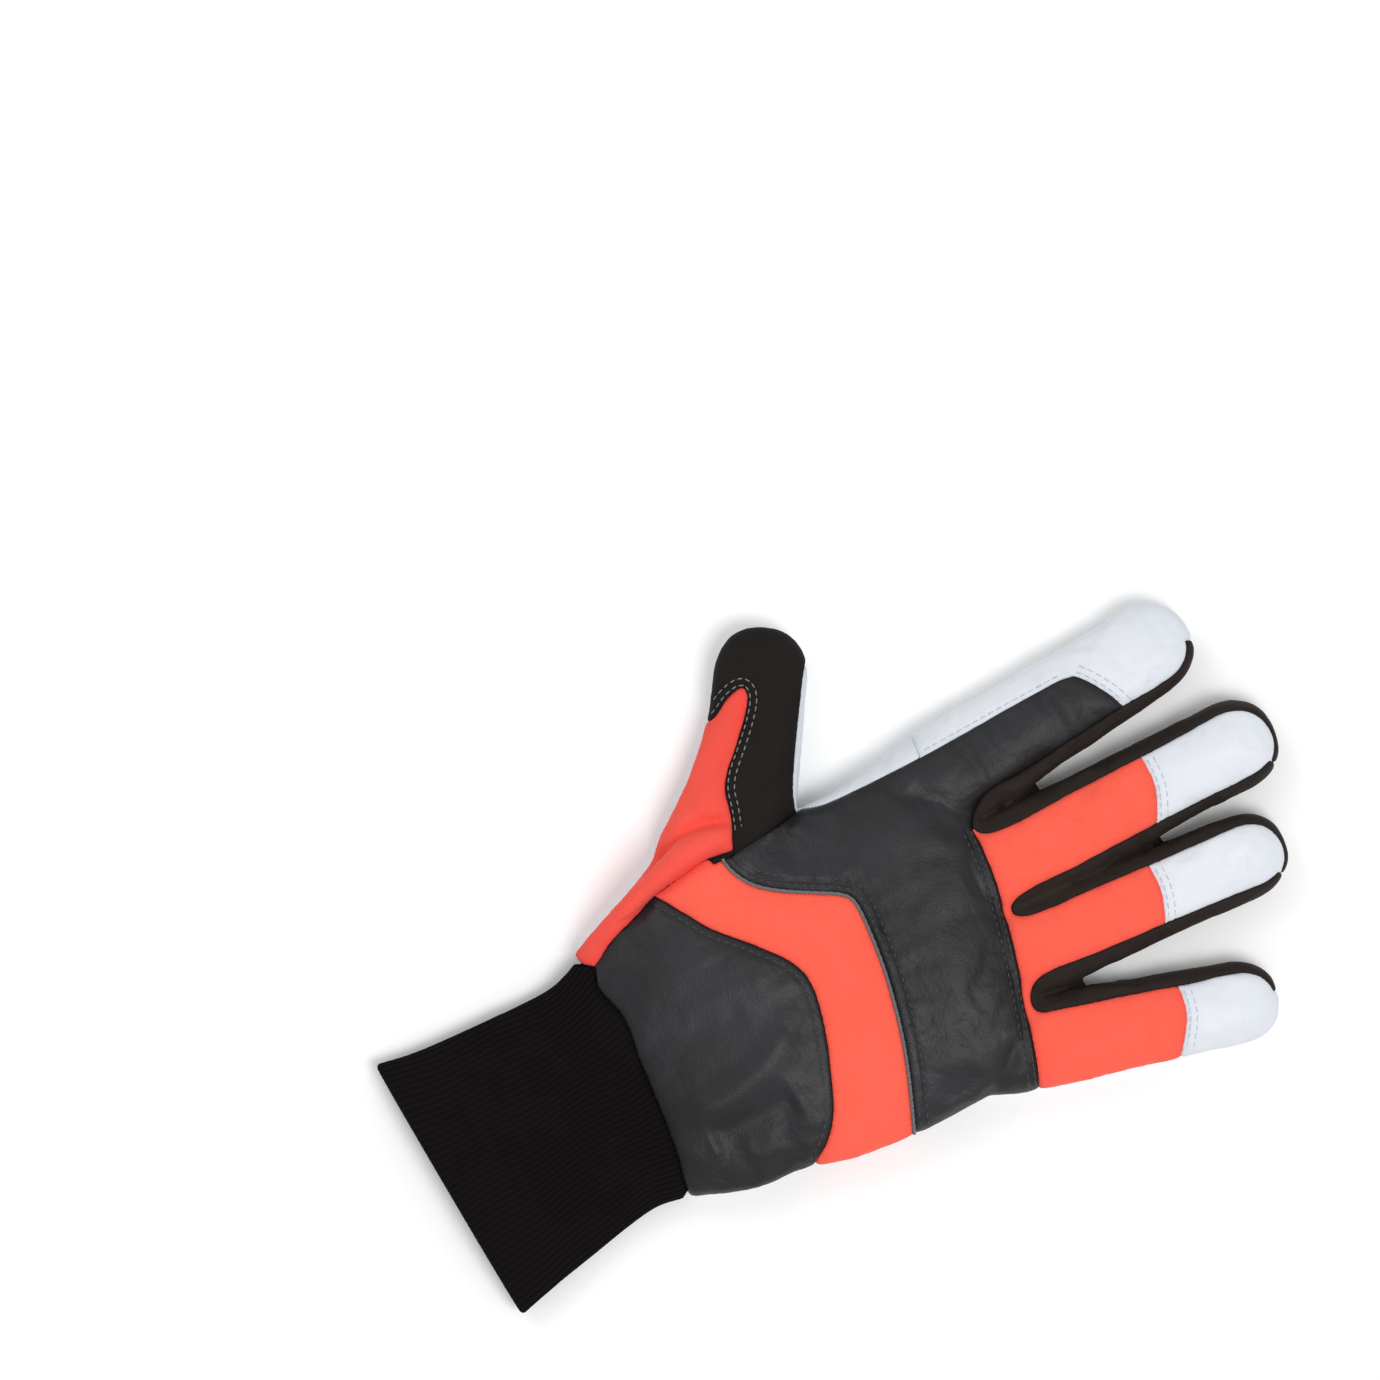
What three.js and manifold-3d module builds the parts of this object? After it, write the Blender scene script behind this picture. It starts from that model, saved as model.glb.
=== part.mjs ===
// A right-hand chainsaw work glove, lying palm down and keeping the fullness of a hand.
// Millimetres, +Z up. +Y runs from the wrist to the fingertips and the thumb points to -X.
// The origin is in the middle of the palm, on the surface that the glove lies on.
import * as THREE from 'three';
import { mergeVertices } from 'three/addons/utils/BufferGeometryUtils.js';
import Module from 'manifold-3d';

// Hand, from the wrist seam to the knuckle line
const handLength = 125;
const handWidth = 105;
const handHeight = 24;
const palmCentreShare = 0.4;

// Knitted cuff
const cuffLength = 67;
const cuffWidth = 86;
const cuffHeight = 15;
const ribCount = 40;
const ribDepth = 0.7;

// Fingers and thumb: each length runs from a root inside the hand to the tip
const indexLength = 108.8;
const indexWidth = 28.2;
const middleLength = 117.5;
const middleWidth = 27.4;
const ringLength = 105;
const ringWidth = 25.6;
const littleLength = 93.5;
const littleWidth = 24.8;
const fingerHeight = 17.5;
const thumbLength = 79.5;
const thumbWidth = 28.5;
const thumbHeight = 18.5;

// Materials and seams
const leatherWall = 1.8;
const knitWall = 2.6;
const seamGap = 0.3;
const sideSeamHeight = 6.2;
const gussetInset = 3.4;
const pipingWidth = 1.3;
const pipingRise = 0.8;

// Shape of the sections: where the widest line lies, how square the sections are,
// and how far the soft form would sag below the surface that flattens it
const widestShare = 0.45;
const handRoundness = 2.3;
const fingerRoundness = 2.3;
const tipRoundness = 2.35;
const tipShare = 0.6;
const flattening = 1.5;

// Facets round a finger, the hand and the plain inside of the cuff
const fingerSides = 14;
const handSides = 24;
const seamSteps = 14;

// Hand sections, from the wrist seam to the knuckles: the plan ends of each section as shares
// of the hand's width and length, and its top as a share of the hand's height
const handRows = [
  { leftX: -0.395, leftY: 0.012, rightX: 0.374, rightY: 0.0, tall: 0.77 },
  { leftX: -0.438, leftY: 0.08, rightX: 0.41, rightY: 0.08, tall: 0.86 },
  { leftX: -0.478, leftY: 0.16, rightX: 0.43, rightY: 0.16, tall: 0.92 },
  { leftX: -0.512, leftY: 0.24, rightX: 0.438, rightY: 0.24, tall: 0.96 },
  { leftX: -0.535, leftY: 0.336, rightX: 0.474, rightY: 0.336, tall: 0.99 },
  { leftX: -0.51, leftY: 0.448, rightX: 0.497, rightY: 0.448, tall: 1.0 },
  { leftX: -0.481, leftY: 0.576, rightX: 0.506, rightY: 0.56, tall: 1.0 },
  { leftX: -0.468, leftY: 0.72, rightX: 0.507, rightY: 0.69, tall: 0.98 },
  { leftX: -0.486, leftY: 0.864, rightX: 0.512, rightY: 0.8, tall: 0.93 },
  { leftX: -0.49, leftY: 0.968, rightX: 0.503, rightY: 0.868, tall: 0.82 },
  { leftX: -0.465, leftY: 1.04, rightX: 0.45, rightY: 0.93, tall: 0.62 },
];

// Cuff sections, from the mouth to just below the wrist seam, as shares of the cuff's sizes
const cuffRows = [
  { leftX: -0.477, leftY: -1.0, rightX: 0.532, rightY: -0.945, tall: 1.0 },
  { leftX: -0.434, leftY: -0.52, rightX: 0.464, rightY: -0.537, tall: 0.9 },
  { leftX: -0.425, leftY: -0.21, rightX: 0.423, rightY: -0.24, tall: 0.94 },
  { leftX: -0.446, leftY: -0.075, rightX: 0.436, rightY: -0.09, tall: 1.1 },
];

// Fingers: root as shares of the hand, lean from +Y in degrees, flare at the root, and the
// seam of the fingertip cap as shares of the finger's length at its left, middle and right
const index = {
  name: 'index', rootX: -0.332, rootY: 0.8, lean: -4.6, length: indexLength, width: indexWidth,
  height: fingerHeight, flare: 1.16,
};
const middle = {
  name: 'middle', rootX: -0.056, rootY: 0.8, lean: 0.5, length: middleLength, width: middleWidth,
  height: fingerHeight, flare: 1.12, capLeft: 0.664, capMiddle: 0.66, capRight: 0.618,
};
const ring = {
  name: 'ring', rootX: 0.171, rootY: 0.8, lean: 5.0, length: ringLength, width: ringWidth,
  height: fingerHeight, flare: 1.14, capLeft: 0.613, capMiddle: 0.617, capRight: 0.587,
};
const little = {
  name: 'little', rootX: 0.386, rootY: 0.736, lean: 16.8, length: littleLength, width: littleWidth,
  height: fingerHeight * 0.93, flare: 1.16, capLeft: 0.684, capMiddle: 0.693, capRight: 0.66,
};
const thumb = {
  name: 'thumb', rootX: -0.34, rootY: 0.428, lean: -56.8, length: thumbLength, width: thumbWidth,
  height: thumbHeight,
};

// Finger sections before the tip: share of the length, how much of the flare is left, height
const fingerRows = [
  { along: -0.02, flared: 0.0, tall: 0.95 },
  { along: 0.12, flared: 0.75, tall: 1.08 },
  { along: 0.27, flared: 0.95, tall: 1.07 },
  { along: 0.43, flared: 0.6, tall: 1.03 },
  { along: 0.62, flared: 0.15, tall: 1.0 },
  { along: 0.8, flared: 0.0, tall: 1.0 },
];

// Thumb sections before the tip, out from the palm: its outer edge widens into the heel of the hand
const thumbRows = [
  { along: -0.24, left: -1.5, right: 0.3, tall: 0.8 },
  { along: -0.08, left: -1.25, right: 0.49, tall: 1.1 },
  { along: 0.07, left: -0.99, right: 0.49, tall: 1.16 },
  { along: 0.18, left: -0.9, right: 0.49, tall: 1.1 },
  { along: 0.38, left: -0.69, right: 0.49, tall: 1.04 },
  { along: 0.5, left: -0.6, right: 0.49, tall: 1.0 },
  { along: 0.66, left: -0.5, right: 0.49, tall: 1.0 },
];

// The roll of slack cloth over the base of the thumb: shares of the hand's width and length,
// its half width as a share of the thumb's width, and its top as a share of the hand's height
const rollRows = [
  { x: -0.5, y: 0.5, half: 0.12, tall: 0.8 },
  { x: -0.494, y: 0.4, half: 0.18, tall: 0.9 },
  { x: -0.478, y: 0.28, half: 0.16, tall: 0.92 },
  { x: -0.44, y: 0.15, half: 0.08, tall: 0.72 },
];

const wasm = await Module();
wasm.setup();

function solidFrom(geometry) {
  const bare = geometry.clone();
  bare.deleteAttribute('normal');
  bare.deleteAttribute('uv');
  const merged = mergeVertices(bare, 1e-4);
  return new wasm.Manifold(new wasm.Mesh({
    numProp: 3,
    vertProperties: merged.attributes.position.array,
    triVerts: new Uint32Array(merged.index.array),
  }));
}

// The largest body of a solid, as a geometry: a cut can leave a crumb beside it
function geometryFrom(solid) {
  const mesh = solid.getMesh();
  const positions = new Float32Array(mesh.numVert * 3);
  for (let i = 0; i < mesh.numVert; i++) {
    positions.set(mesh.vertProperties.subarray(i * mesh.numProp, i * mesh.numProp + 3), i * 3);
  }
  const whole = new THREE.BufferGeometry();
  whole.setAttribute('position', new THREE.BufferAttribute(positions, 3));
  whole.setIndex(new THREE.BufferAttribute(new Uint32Array(mesh.triVerts), 1));
  const merged = mergeVertices(whole, 1e-3);
  const corners = merged.index.array;
  const parent = [];
  const rootOf = (i) => {
    while (parent[i] !== i) i = parent[i];
    return i;
  };
  const facets = [];
  const edges = new Map();
  for (let t = 0; t < corners.length; t += 3) {
    const [a, b, c] = corners.subarray(t, t + 3);
    if (a === b || b === c || c === a) continue;
    const facet = facets.length;
    facets.push([a, b, c]);
    parent.push(facet);
    for (const [from, to] of [[a, b], [b, c], [c, a]]) {
      const key = `${Math.min(from, to)} ${Math.max(from, to)}`;
      edges.set(key, [...(edges.get(key) ?? []), facet]);
    }
  }
  for (const sharing of edges.values()) {
    if (sharing.length === 2) parent[rootOf(sharing[0])] = rootOf(sharing[1]);
  }
  const counts = new Map();
  for (let i = 0; i < facets.length; i++) counts.set(rootOf(i), (counts.get(rootOf(i)) ?? 0) + 1);
  const largest = [...counts].sort((a, b) => b[1] - a[1])[0][0];
  merged.setIndex(facets.filter((facet, i) => rootOf(i) === largest).flat());
  const geometry = merged.toNonIndexed();
  geometry.computeVertexNormals();
  return geometry;
}

// Closed geometry through rings of equal point count, with a flat cap at each end
function loft(rings) {
  const sides = rings[0].length;
  const points = rings.flat();
  const index = [];
  for (let r = 0; r + 1 < rings.length; r++) {
    for (let s = 0; s < sides; s++) {
      const a = r * sides + s;
      const b = r * sides + ((s + 1) % sides);
      index.push(a, b, a + sides, b, b + sides, a + sides);
    }
  }
  const capAt = (first, outwards) => {
    const centre = new THREE.Vector3();
    for (let s = 0; s < sides; s++) centre.add(points[first + s]);
    points.push(centre.divideScalar(sides));
    for (let s = 0; s < sides; s++) {
      const a = first + s;
      const b = first + ((s + 1) % sides);
      index.push(...(outwards ? [a, b, points.length - 1] : [b, a, points.length - 1]));
    }
  };
  capAt(0, false);
  capAt((rings.length - 1) * sides, true);
  const geometry = new THREE.BufferGeometry().setFromPoints(points);
  geometry.setIndex(index);
  const solid = solidFrom(geometry);
  if (solid.volume() > 0) return solid;
  geometry.setIndex(index.reverse());
  return solidFrom(geometry);
}

// One section standing over the plan line from left to right: a rounded outline whose top is at
// height tall. grow moves it outwards, and fullness shrinks it towards its middle near a tip.
function section(left, right, tall, roundness, grow, sides, fullness = 1) {
  const middlePoint = left.clone().add(right).multiplyScalar(0.5);
  const across = right.clone().sub(left).normalize();
  const half = (left.distanceTo(right) / 2 + grow) * fullness;
  const widest = tall * widestShare;
  const up = (tall - widest + grow) * fullness;
  const down = (widest + flattening + grow) * fullness;
  const steps = 48;
  const power = 2 / roundness;
  const outline = (height, from) => {
    const fine = [];
    for (let i = 0; i <= steps; i++) {
      const angle = from + (Math.PI * i) / steps;
      const c = Math.cos(angle);
      const s = Math.sin(angle);
      fine.push(new THREE.Vector2(
        half * Math.sign(c) * Math.abs(c) ** power,
        widest + height * Math.sign(s) * Math.abs(s) ** power,
      ));
    }
    const path = new THREE.Path(fine);
    return path.getSpacedPoints(sides / 2).slice(0, -1);
  };
  return [...outline(up, 0), ...outline(down, Math.PI)].map(({ x, y }) => (
    new THREE.Vector3(middlePoint.x + across.x * x, middlePoint.y + across.y * x, y)
  ));
}

const handPoint = (x, y) => new THREE.Vector2(x * handWidth, y * handLength);
const cuffPoint = (x, y) => new THREE.Vector2(x * cuffWidth, y * cuffLength);

// A point of a digit: along its length from its root, and sideways in shares of its width
function digitPoint(digit, along, side) {
  const lean = THREE.MathUtils.degToRad(digit.lean);
  return handPoint(digit.rootX, digit.rootY)
    .addScaledVector(new THREE.Vector2(Math.sin(lean), Math.cos(lean)), along * digit.length)
    .addScaledVector(new THREE.Vector2(Math.cos(lean), -Math.sin(lean)), side * digit.width);
}

// The hand with the cuff's outline, as one smooth trunk
function trunk(grow, sides = handSides) {
  const rings = [
    ...cuffRows.map((row) => section(
      cuffPoint(row.leftX, row.leftY), cuffPoint(row.rightX, row.rightY),
      row.tall * cuffHeight, handRoundness, grow, sides,
    )),
    ...handRows.map((row) => section(
      handPoint(row.leftX, row.leftY), handPoint(row.rightX, row.rightY),
      row.tall * handHeight, handRoundness, grow, sides,
    )),
  ];
  return loft(rings);
}

function digitForm(digit, rows, grow) {
  const tipLength = (digit.width * tipShare + grow) / digit.length;
  const tipStart = 1 + grow / digit.length - tipLength;
  const rings = rows.map((row) => section(
    digitPoint(digit, row.along, row.left), digitPoint(digit, row.along, row.right),
    row.tall * digit.height, fingerRoundness, grow, fingerSides,
  ));
  const last = rows[rows.length - 1];
  for (const degrees of [20, 44, 64, 79]) {
    const angle = THREE.MathUtils.degToRad(degrees);
    const along = tipStart + tipLength * Math.sin(angle) ** (2 / tipRoundness);
    rings.push(section(
      digitPoint(digit, along, last.left), digitPoint(digit, along, last.right),
      last.tall * digit.height, fingerRoundness, grow, fingerSides, Math.cos(angle) ** (2 / tipRoundness),
    ));
  }
  return loft(rings);
}

function fingerForm(finger, grow) {
  const rows = fingerRows.map((row) => {
    const half = 0.5 * (1 + (finger.flare - 1) * row.flared);
    return { along: row.along, left: -half, right: half, tall: row.tall };
  });
  return digitForm(finger, rows, grow);
}

function rollForm(grow) {
  const spots = rollRows.map((row) => handPoint(row.x, row.y));
  return loft(rollRows.map((row, i) => {
    const before = spots[Math.max(i - 1, 0)];
    const after = spots[Math.min(i + 1, spots.length - 1)];
    const way = after.clone().sub(before).normalize();
    const across = new THREE.Vector2(way.y, -way.x).multiplyScalar(row.half * thumbWidth);
    return section(
      spots[i].clone().add(across), spots[i].clone().sub(across),
      row.tall * handHeight, 2, grow, fingerSides,
    );
  }));
}

const farAway = 400;

// Upright prism over a plan outline
function prism(outline, low = -farAway, high = farAway) {
  const geometry = new THREE.ExtrudeGeometry(new THREE.Shape(outline), {
    depth: high - low, bevelEnabled: false,
  });
  geometry.translate(0, 0, low);
  return solidFrom(geometry);
}

const everywhere = [[-1, -1], [1, -1], [1, 1], [-1, 1]].map(([x, y]) => (
  new THREE.Vector2(x * farAway, y * farAway)
));

// The same outline moved outwards all round
function grown(outline, by) {
  const outwards = THREE.ShapeUtils.isClockWise(outline) ? -by : by;
  return outline.map((point, i) => {
    const before = outline[(i + outline.length - 1) % outline.length];
    const after = outline[(i + 1) % outline.length];
    const first = point.clone().sub(before).normalize();
    const second = after.clone().sub(point).normalize();
    const normal = new THREE.Vector2(first.y + second.y, -first.x - second.x).normalize();
    const cosine = Math.max(normal.dot(new THREE.Vector2(first.y, -first.x)), 0.5);
    return point.clone().addScaledVector(normal, outwards / cosine);
  });
}

const smooth = (points, steps = seamSteps) => new THREE.SplineCurve(points).getPoints(steps);

// What lies inside a plan outline, and what is left beside it across the seam's gap
function split(solid, outline) {
  return [solid.intersect(prism(outline)), solid.subtract(prism(grown(outline, seamGap)))];
}

// The soft form of the whole glove, grown or shrunk evenly, and cut flat where it lies
function gloveForm(grow) {
  let form = trunk(grow);
  for (const finger of [index, middle, ring, little]) form = form.add(fingerForm(finger, grow));
  form = form.add(digitForm(thumb, thumbRows, grow));
  form = form.add(rollForm(grow));
  return form.intersect(prism(everywhere, -grow));
}

// Wrist seam, where the knitted cuff is sewn to the hand
const wristSeam = smooth([
  handPoint(-0.52, -0.02), handPoint(-0.395, 0.0), handPoint(-0.352, 0.03), handPoint(-0.286, 0.014),
  handPoint(-0.181, 0.038), handPoint(-0.076, 0.024), handPoint(0.19, 0.0), handPoint(0.367, -0.028),
  handPoint(0.5, -0.04),
], 14);
const lowerCorners = [new THREE.Vector2(farAway, -farAway), new THREE.Vector2(-farAway, -farAway)];
const cuffZone = [...wristSeam, ...lowerCorners];

// The knitted cuff: a ribbed tube with a plain inside
function ribbedCuff() {
  const ribs = (row, pointOf, height) => {
    const [crests, valleys] = [0, -ribDepth].map((grow) => section(
      pointOf(row.leftX, row.leftY), pointOf(row.rightX, row.rightY),
      row.tall * height, handRoundness, grow, ribCount * 2,
    ));
    return crests.map((crest, i) => (i % 2 ? valleys[i] : crest));
  };
  const outside = loft([
    ...cuffRows.map((row) => ribs(row, cuffPoint, cuffHeight)),
    ...handRows.slice(0, 2).map((row) => ribs(row, handPoint, handHeight)),
  ]);
  return outside.intersect(prism(everywhere, 0)).subtract(hollow(knitWall)).intersect(prism(cuffZone));
}

// The inside of the trunk, run out through the mouth of the cuff
function hollow(wall) {
  const mouth = cuffRows[0];
  const mouthRing = (reach) => section(
    cuffPoint(mouth.leftX, mouth.leftY * reach), cuffPoint(mouth.rightX, mouth.rightY * reach),
    mouth.tall * cuffHeight, handRoundness, -wall, handSides,
  );
  return trunk(-wall).add(loft([mouthRing(1.1), mouthRing(1)])).intersect(prism(everywhere, wall));
}

// Side walls between two fingers: how far down each finger they stay upright, as a share of its
// length, and the plan point where they turn round the crotch, as shares of the hand
const gussets = [
  { left: index, right: middle, leftLow: 0.28, rightLow: 0.26, turnX: -0.192, turnY: 0.992 },
  { left: middle, right: ring, leftLow: 0.235, rightLow: 0.26, turnX: 0.074, turnY: 0.978 },
  { left: ring, right: little, leftLow: 0.2, rightLow: 0.33, turnX: 0.352, turnY: 0.918 },
];

function gussetOutline({ left, right, leftLow, rightLow, turnX, turnY }) {
  const leftInset = 0.5 - gussetInset / left.width;
  const rightInset = gussetInset / right.width - 0.5;
  return smooth([
    digitPoint(left, 1.0, 0.56), digitPoint(left, 0.93, 0.45), digitPoint(left, 0.82, leftInset + 0.03),
    digitPoint(left, 0.6, leftInset), digitPoint(left, 0.4, leftInset),
    digitPoint(left, leftLow, leftInset), handPoint(turnX, turnY),
    digitPoint(right, rightLow, rightInset), digitPoint(right, 0.45, rightInset),
    digitPoint(right, 0.62, rightInset), digitPoint(right, 0.82, rightInset - 0.03),
    digitPoint(right, 0.93, -0.45), digitPoint(right, 1.0, -0.56),
  ], 20);
}

// Palm leather that wraps round the outer side and the tip of the index finger
const wrapZone = [
  handPoint(-0.6, 0.79),
  ...smooth([
    handPoint(-0.476, 0.643), digitPoint(index, -0.083, -0.47), digitPoint(index, 0.19, -0.35),
    digitPoint(index, 0.46, -0.285), digitPoint(index, 0.63, -0.24),
  ], 8),
  ...smooth([
    digitPoint(index, 0.665, -0.2), digitPoint(index, 0.688, -0.07), digitPoint(index, 0.72, 0.18),
    digitPoint(index, 0.738, 0.46), digitPoint(index, 0.742, 0.75),
  ], 6),
  digitPoint(index, 1.2, 0.75),
  digitPoint(index, 1.2, -1.2),
  digitPoint(index, 0.0, -1.2),
];

// Palm leather that shows along the inner side of the thumb
const thumbEdgeZone = [
  digitPoint(thumb, 0.42, 0.44), digitPoint(thumb, 0.8, 0.44), digitPoint(thumb, 0.9, 0.6),
  digitPoint(thumb, 0.6, 0.75), digitPoint(thumb, 0.42, 0.6),
];

// Outer cloth of the thumb, from the wrist to a rounded point on the back of the thumb
const thumbClothZone = [
  ...smooth([
    handPoint(-0.335, -0.06), handPoint(-0.352, 0.03), handPoint(-0.39, 0.096), handPoint(-0.419, 0.176),
    handPoint(-0.443, 0.24), handPoint(-0.459, 0.32), handPoint(-0.467, 0.39), handPoint(-0.457, 0.456),
  ], 8),
  ...smooth([
    digitPoint(thumb, 0.222, -0.155), digitPoint(thumb, 0.312, -0.217), digitPoint(thumb, 0.375, -0.275),
    digitPoint(thumb, 0.45, -0.272), digitPoint(thumb, 0.555, -0.2), digitPoint(thumb, 0.66, -0.14),
    digitPoint(thumb, 0.735, -0.13), digitPoint(thumb, 0.765, -0.2), digitPoint(thumb, 0.72, -0.34),
    digitPoint(thumb, 0.64, -0.48), digitPoint(thumb, 0.6, -0.7),
  ], 16),
  digitPoint(thumb, 0.1, -1.6),
  handPoint(-0.6, -0.2),
];

// Back of the thumb, up to the seam beside the knuckle guard
const thumbBackZone = [
  ...smooth([
    handPoint(-0.478, 0.7), handPoint(-0.474, 0.64), handPoint(-0.452, 0.56), handPoint(-0.449, 0.44),
    handPoint(-0.449, 0.4),
  ], 6),
  digitPoint(thumb, 0.2, -0.6),
  digitPoint(thumb, 1.2, -0.9),
  digitPoint(thumb, 1.2, 0.9),
];

// Cloth backs of the three outer fingers, above the knuckle seam
const knuckleTop = smooth([
  handPoint(-0.19, 0.99), handPoint(-0.048, 0.98), handPoint(0.095, 0.956), handPoint(0.238, 0.924),
  handPoint(0.381, 0.888), handPoint(0.514, 0.852), handPoint(0.62, 0.815),
], 10);
const fingerClothZone = [
  ...knuckleTop,
  digitPoint(little, 1.2, 2),
  digitPoint(middle, 1.2, 0),
  digitPoint(middle, 1.2, -0.6),
  digitPoint(middle, 0.5, -0.57),
];

// Lower edge of the knuckle guard, with its piping
const knuckleBottom = smooth([
  handPoint(-0.53, 0.4), handPoint(-0.457, 0.42), handPoint(-0.4, 0.432), handPoint(-0.343, 0.46),
  handPoint(-0.295, 0.508), handPoint(-0.248, 0.572), handPoint(-0.205, 0.632), handPoint(-0.167, 0.656),
  handPoint(-0.048, 0.652), handPoint(0.095, 0.634), handPoint(0.286, 0.592), handPoint(0.505, 0.52),
  handPoint(0.62, 0.475),
], 20);

// Top edge of the wrist guard
const wristGuardTop = smooth([
  handPoint(-0.5, 0.2), handPoint(-0.443, 0.24), handPoint(-0.362, 0.284), handPoint(-0.286, 0.324),
  handPoint(-0.19, 0.396), handPoint(-0.095, 0.456), handPoint(-0.01, 0.472), handPoint(0.114, 0.45),
  handPoint(0.238, 0.412), handPoint(0.343, 0.372), handPoint(0.41, 0.324), handPoint(0.452, 0.276),
  handPoint(0.56, 0.2),
], 18);

const backClothZone = [...knuckleBottom, ...lowerCorners];

function capOutline(finger) {
  return [
    ...smooth([
      digitPoint(finger, finger.capLeft - 0.008, -0.6), digitPoint(finger, finger.capLeft, -0.38),
      digitPoint(finger, finger.capMiddle, 0), digitPoint(finger, finger.capRight, 0.42),
      digitPoint(finger, finger.capRight - 0.015, 0.6),
    ], 6),
    digitPoint(finger, 1.3, 0.6),
    digitPoint(finger, 1.3, -0.6),
  ];
}

// Seams of the palm side: the thumb's own leather, and the quilted patch below the fingers
const thumbPalmZone = [
  ...smooth([
    handPoint(-0.281, -0.1), handPoint(-0.281, 0.096), handPoint(-0.281, 0.224), handPoint(-0.286, 0.368),
    handPoint(-0.3, 0.48), handPoint(-0.324, 0.56), handPoint(-0.362, 0.616), handPoint(-0.419, 0.642),
    handPoint(-0.474, 0.64),
  ], 12),
  digitPoint(thumb, 0.4, 0.62),
  digitPoint(thumb, 0.6, 0.9),
  digitPoint(thumb, 1.3, 0.9),
  digitPoint(thumb, 1.3, -1.5),
  handPoint(-0.8, -0.3),
];
const patchZone = [
  handPoint(0.7, -0.3),
  handPoint(-0.7, -0.3),
  ...smooth([
    handPoint(-0.7, 0.975), handPoint(-0.514, 0.962), handPoint(-0.381, 0.95), handPoint(-0.19, 0.932),
    handPoint(0, 0.9), handPoint(0.19, 0.88), handPoint(0.362, 0.848), handPoint(0.514, 0.808),
    handPoint(0.7, 0.75),
  ], 10),
];

const leather = gloveForm(0).subtract(gloveForm(-leatherWall));
const pieces = new Map();
pieces.set('knit_cuff', ribbedCuff());

let handShell = leather.subtract(prism(grown(cuffZone, seamGap)));
for (const gusset of gussets) {
  const [sides, rest] = split(handShell, gussetOutline(gusset));
  pieces.set(`gusset_${gusset.left.name}_${gusset.right.name}`, sides);
  handShell = rest;
}

// The side seam parts the palm side from the back, and rises round the index finger
const palmBlock = prism(everywhere, -farAway, sideSeamHeight).add(prism(wrapZone)).add(prism(thumbEdgeZone));
const backCut = prism(everywhere, -farAway, sideSeamHeight + seamGap)
  .add(prism(grown(wrapZone, seamGap))).add(prism(grown(thumbEdgeZone, seamGap)));
const palmSide = handShell.intersect(palmBlock);
let backSide = handShell.subtract(backCut);

const take = (name, outline) => {
  const [taken, rest] = split(backSide, outline);
  pieces.set(name, taken);
  backSide = rest;
};
take('thumb_cloth', thumbClothZone);
take('thumb_back', thumbBackZone);
for (const finger of [middle, ring, little]) take(`fingertip_${finger.name}`, capOutline(finger));
take('finger_cloth', fingerClothZone);
take('wrist_guard', [...wristGuardTop, ...lowerCorners]);
take('back_cloth', backClothZone);
pieces.set('knuckle_piping', trunk(pipingRise)
  .subtract(gloveForm(-leatherWall))
  .intersect(prism(grown(backClothZone, seamGap + pipingWidth)))
  .subtract(prism(grown(backClothZone, seamGap)))
  .subtract(backCut)
  .subtract(prism(grown(thumbBackZone, seamGap)))
  .subtract(prism(grown(thumbClothZone, seamGap))));
pieces.set('knuckle_guard', backSide.subtract(prism(grown(backClothZone, pipingWidth + 2 * seamGap))));

const [thumbPalm, restOfPalm] = split(palmSide, thumbPalmZone);
const [patch, palm] = split(restOfPalm, patchZone);
pieces.set('thumb_palm', thumbPalm);
pieces.set('palm_patch', patch);
pieces.set('palm_leather', palm);

// Finishes
const whiteLeather = new THREE.MeshStandardMaterial({ color: 0xe6eaee, roughness: 0.62, metalness: 0 });
const darkLeather = new THREE.MeshStandardMaterial({ color: 0x3a3a3c, roughness: 0.5, metalness: 0 });
const orangeCloth = new THREE.MeshStandardMaterial({ color: 0xfc6958, roughness: 0.85, metalness: 0 });
const gussetCloth = new THREE.MeshStandardMaterial({ color: 0x342c28, roughness: 0.8, metalness: 0 });
const thumbSuede = new THREE.MeshStandardMaterial({ color: 0x272522, roughness: 0.8, metalness: 0 });
const greyPiping = new THREE.MeshStandardMaterial({ color: 0x8c8c90, roughness: 0.5, metalness: 0 });
const blackKnit = new THREE.MeshStandardMaterial({ color: 0x151012, roughness: 0.9, metalness: 0 });

const finishes = {
  knit_cuff: blackKnit,
  gusset_index_middle: gussetCloth,
  gusset_middle_ring: gussetCloth,
  gusset_ring_little: gussetCloth,
  thumb_cloth: orangeCloth,
  thumb_back: thumbSuede,
  fingertip_middle: whiteLeather,
  fingertip_ring: whiteLeather,
  fingertip_little: whiteLeather,
  finger_cloth: orangeCloth,
  wrist_guard: darkLeather,
  back_cloth: orangeCloth,
  knuckle_piping: greyPiping,
  knuckle_guard: darkLeather,
  thumb_palm: whiteLeather,
  palm_patch: whiteLeather,
  palm_leather: whiteLeather,
};

const glove = new THREE.Group();
glove.position.y = -palmCentreShare * handLength;
for (const [name, solid] of pieces) {
  const mesh = new THREE.Mesh(geometryFrom(solid), finishes[name]);
  mesh.name = name;
  glove.add(mesh);
}

export default glove;
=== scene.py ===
import math
import bpy
import bmesh
import numpy as np
from mathutils import Matrix, Vector, kdtree, noise
from mathutils.bvhtree import BVHTree


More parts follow.
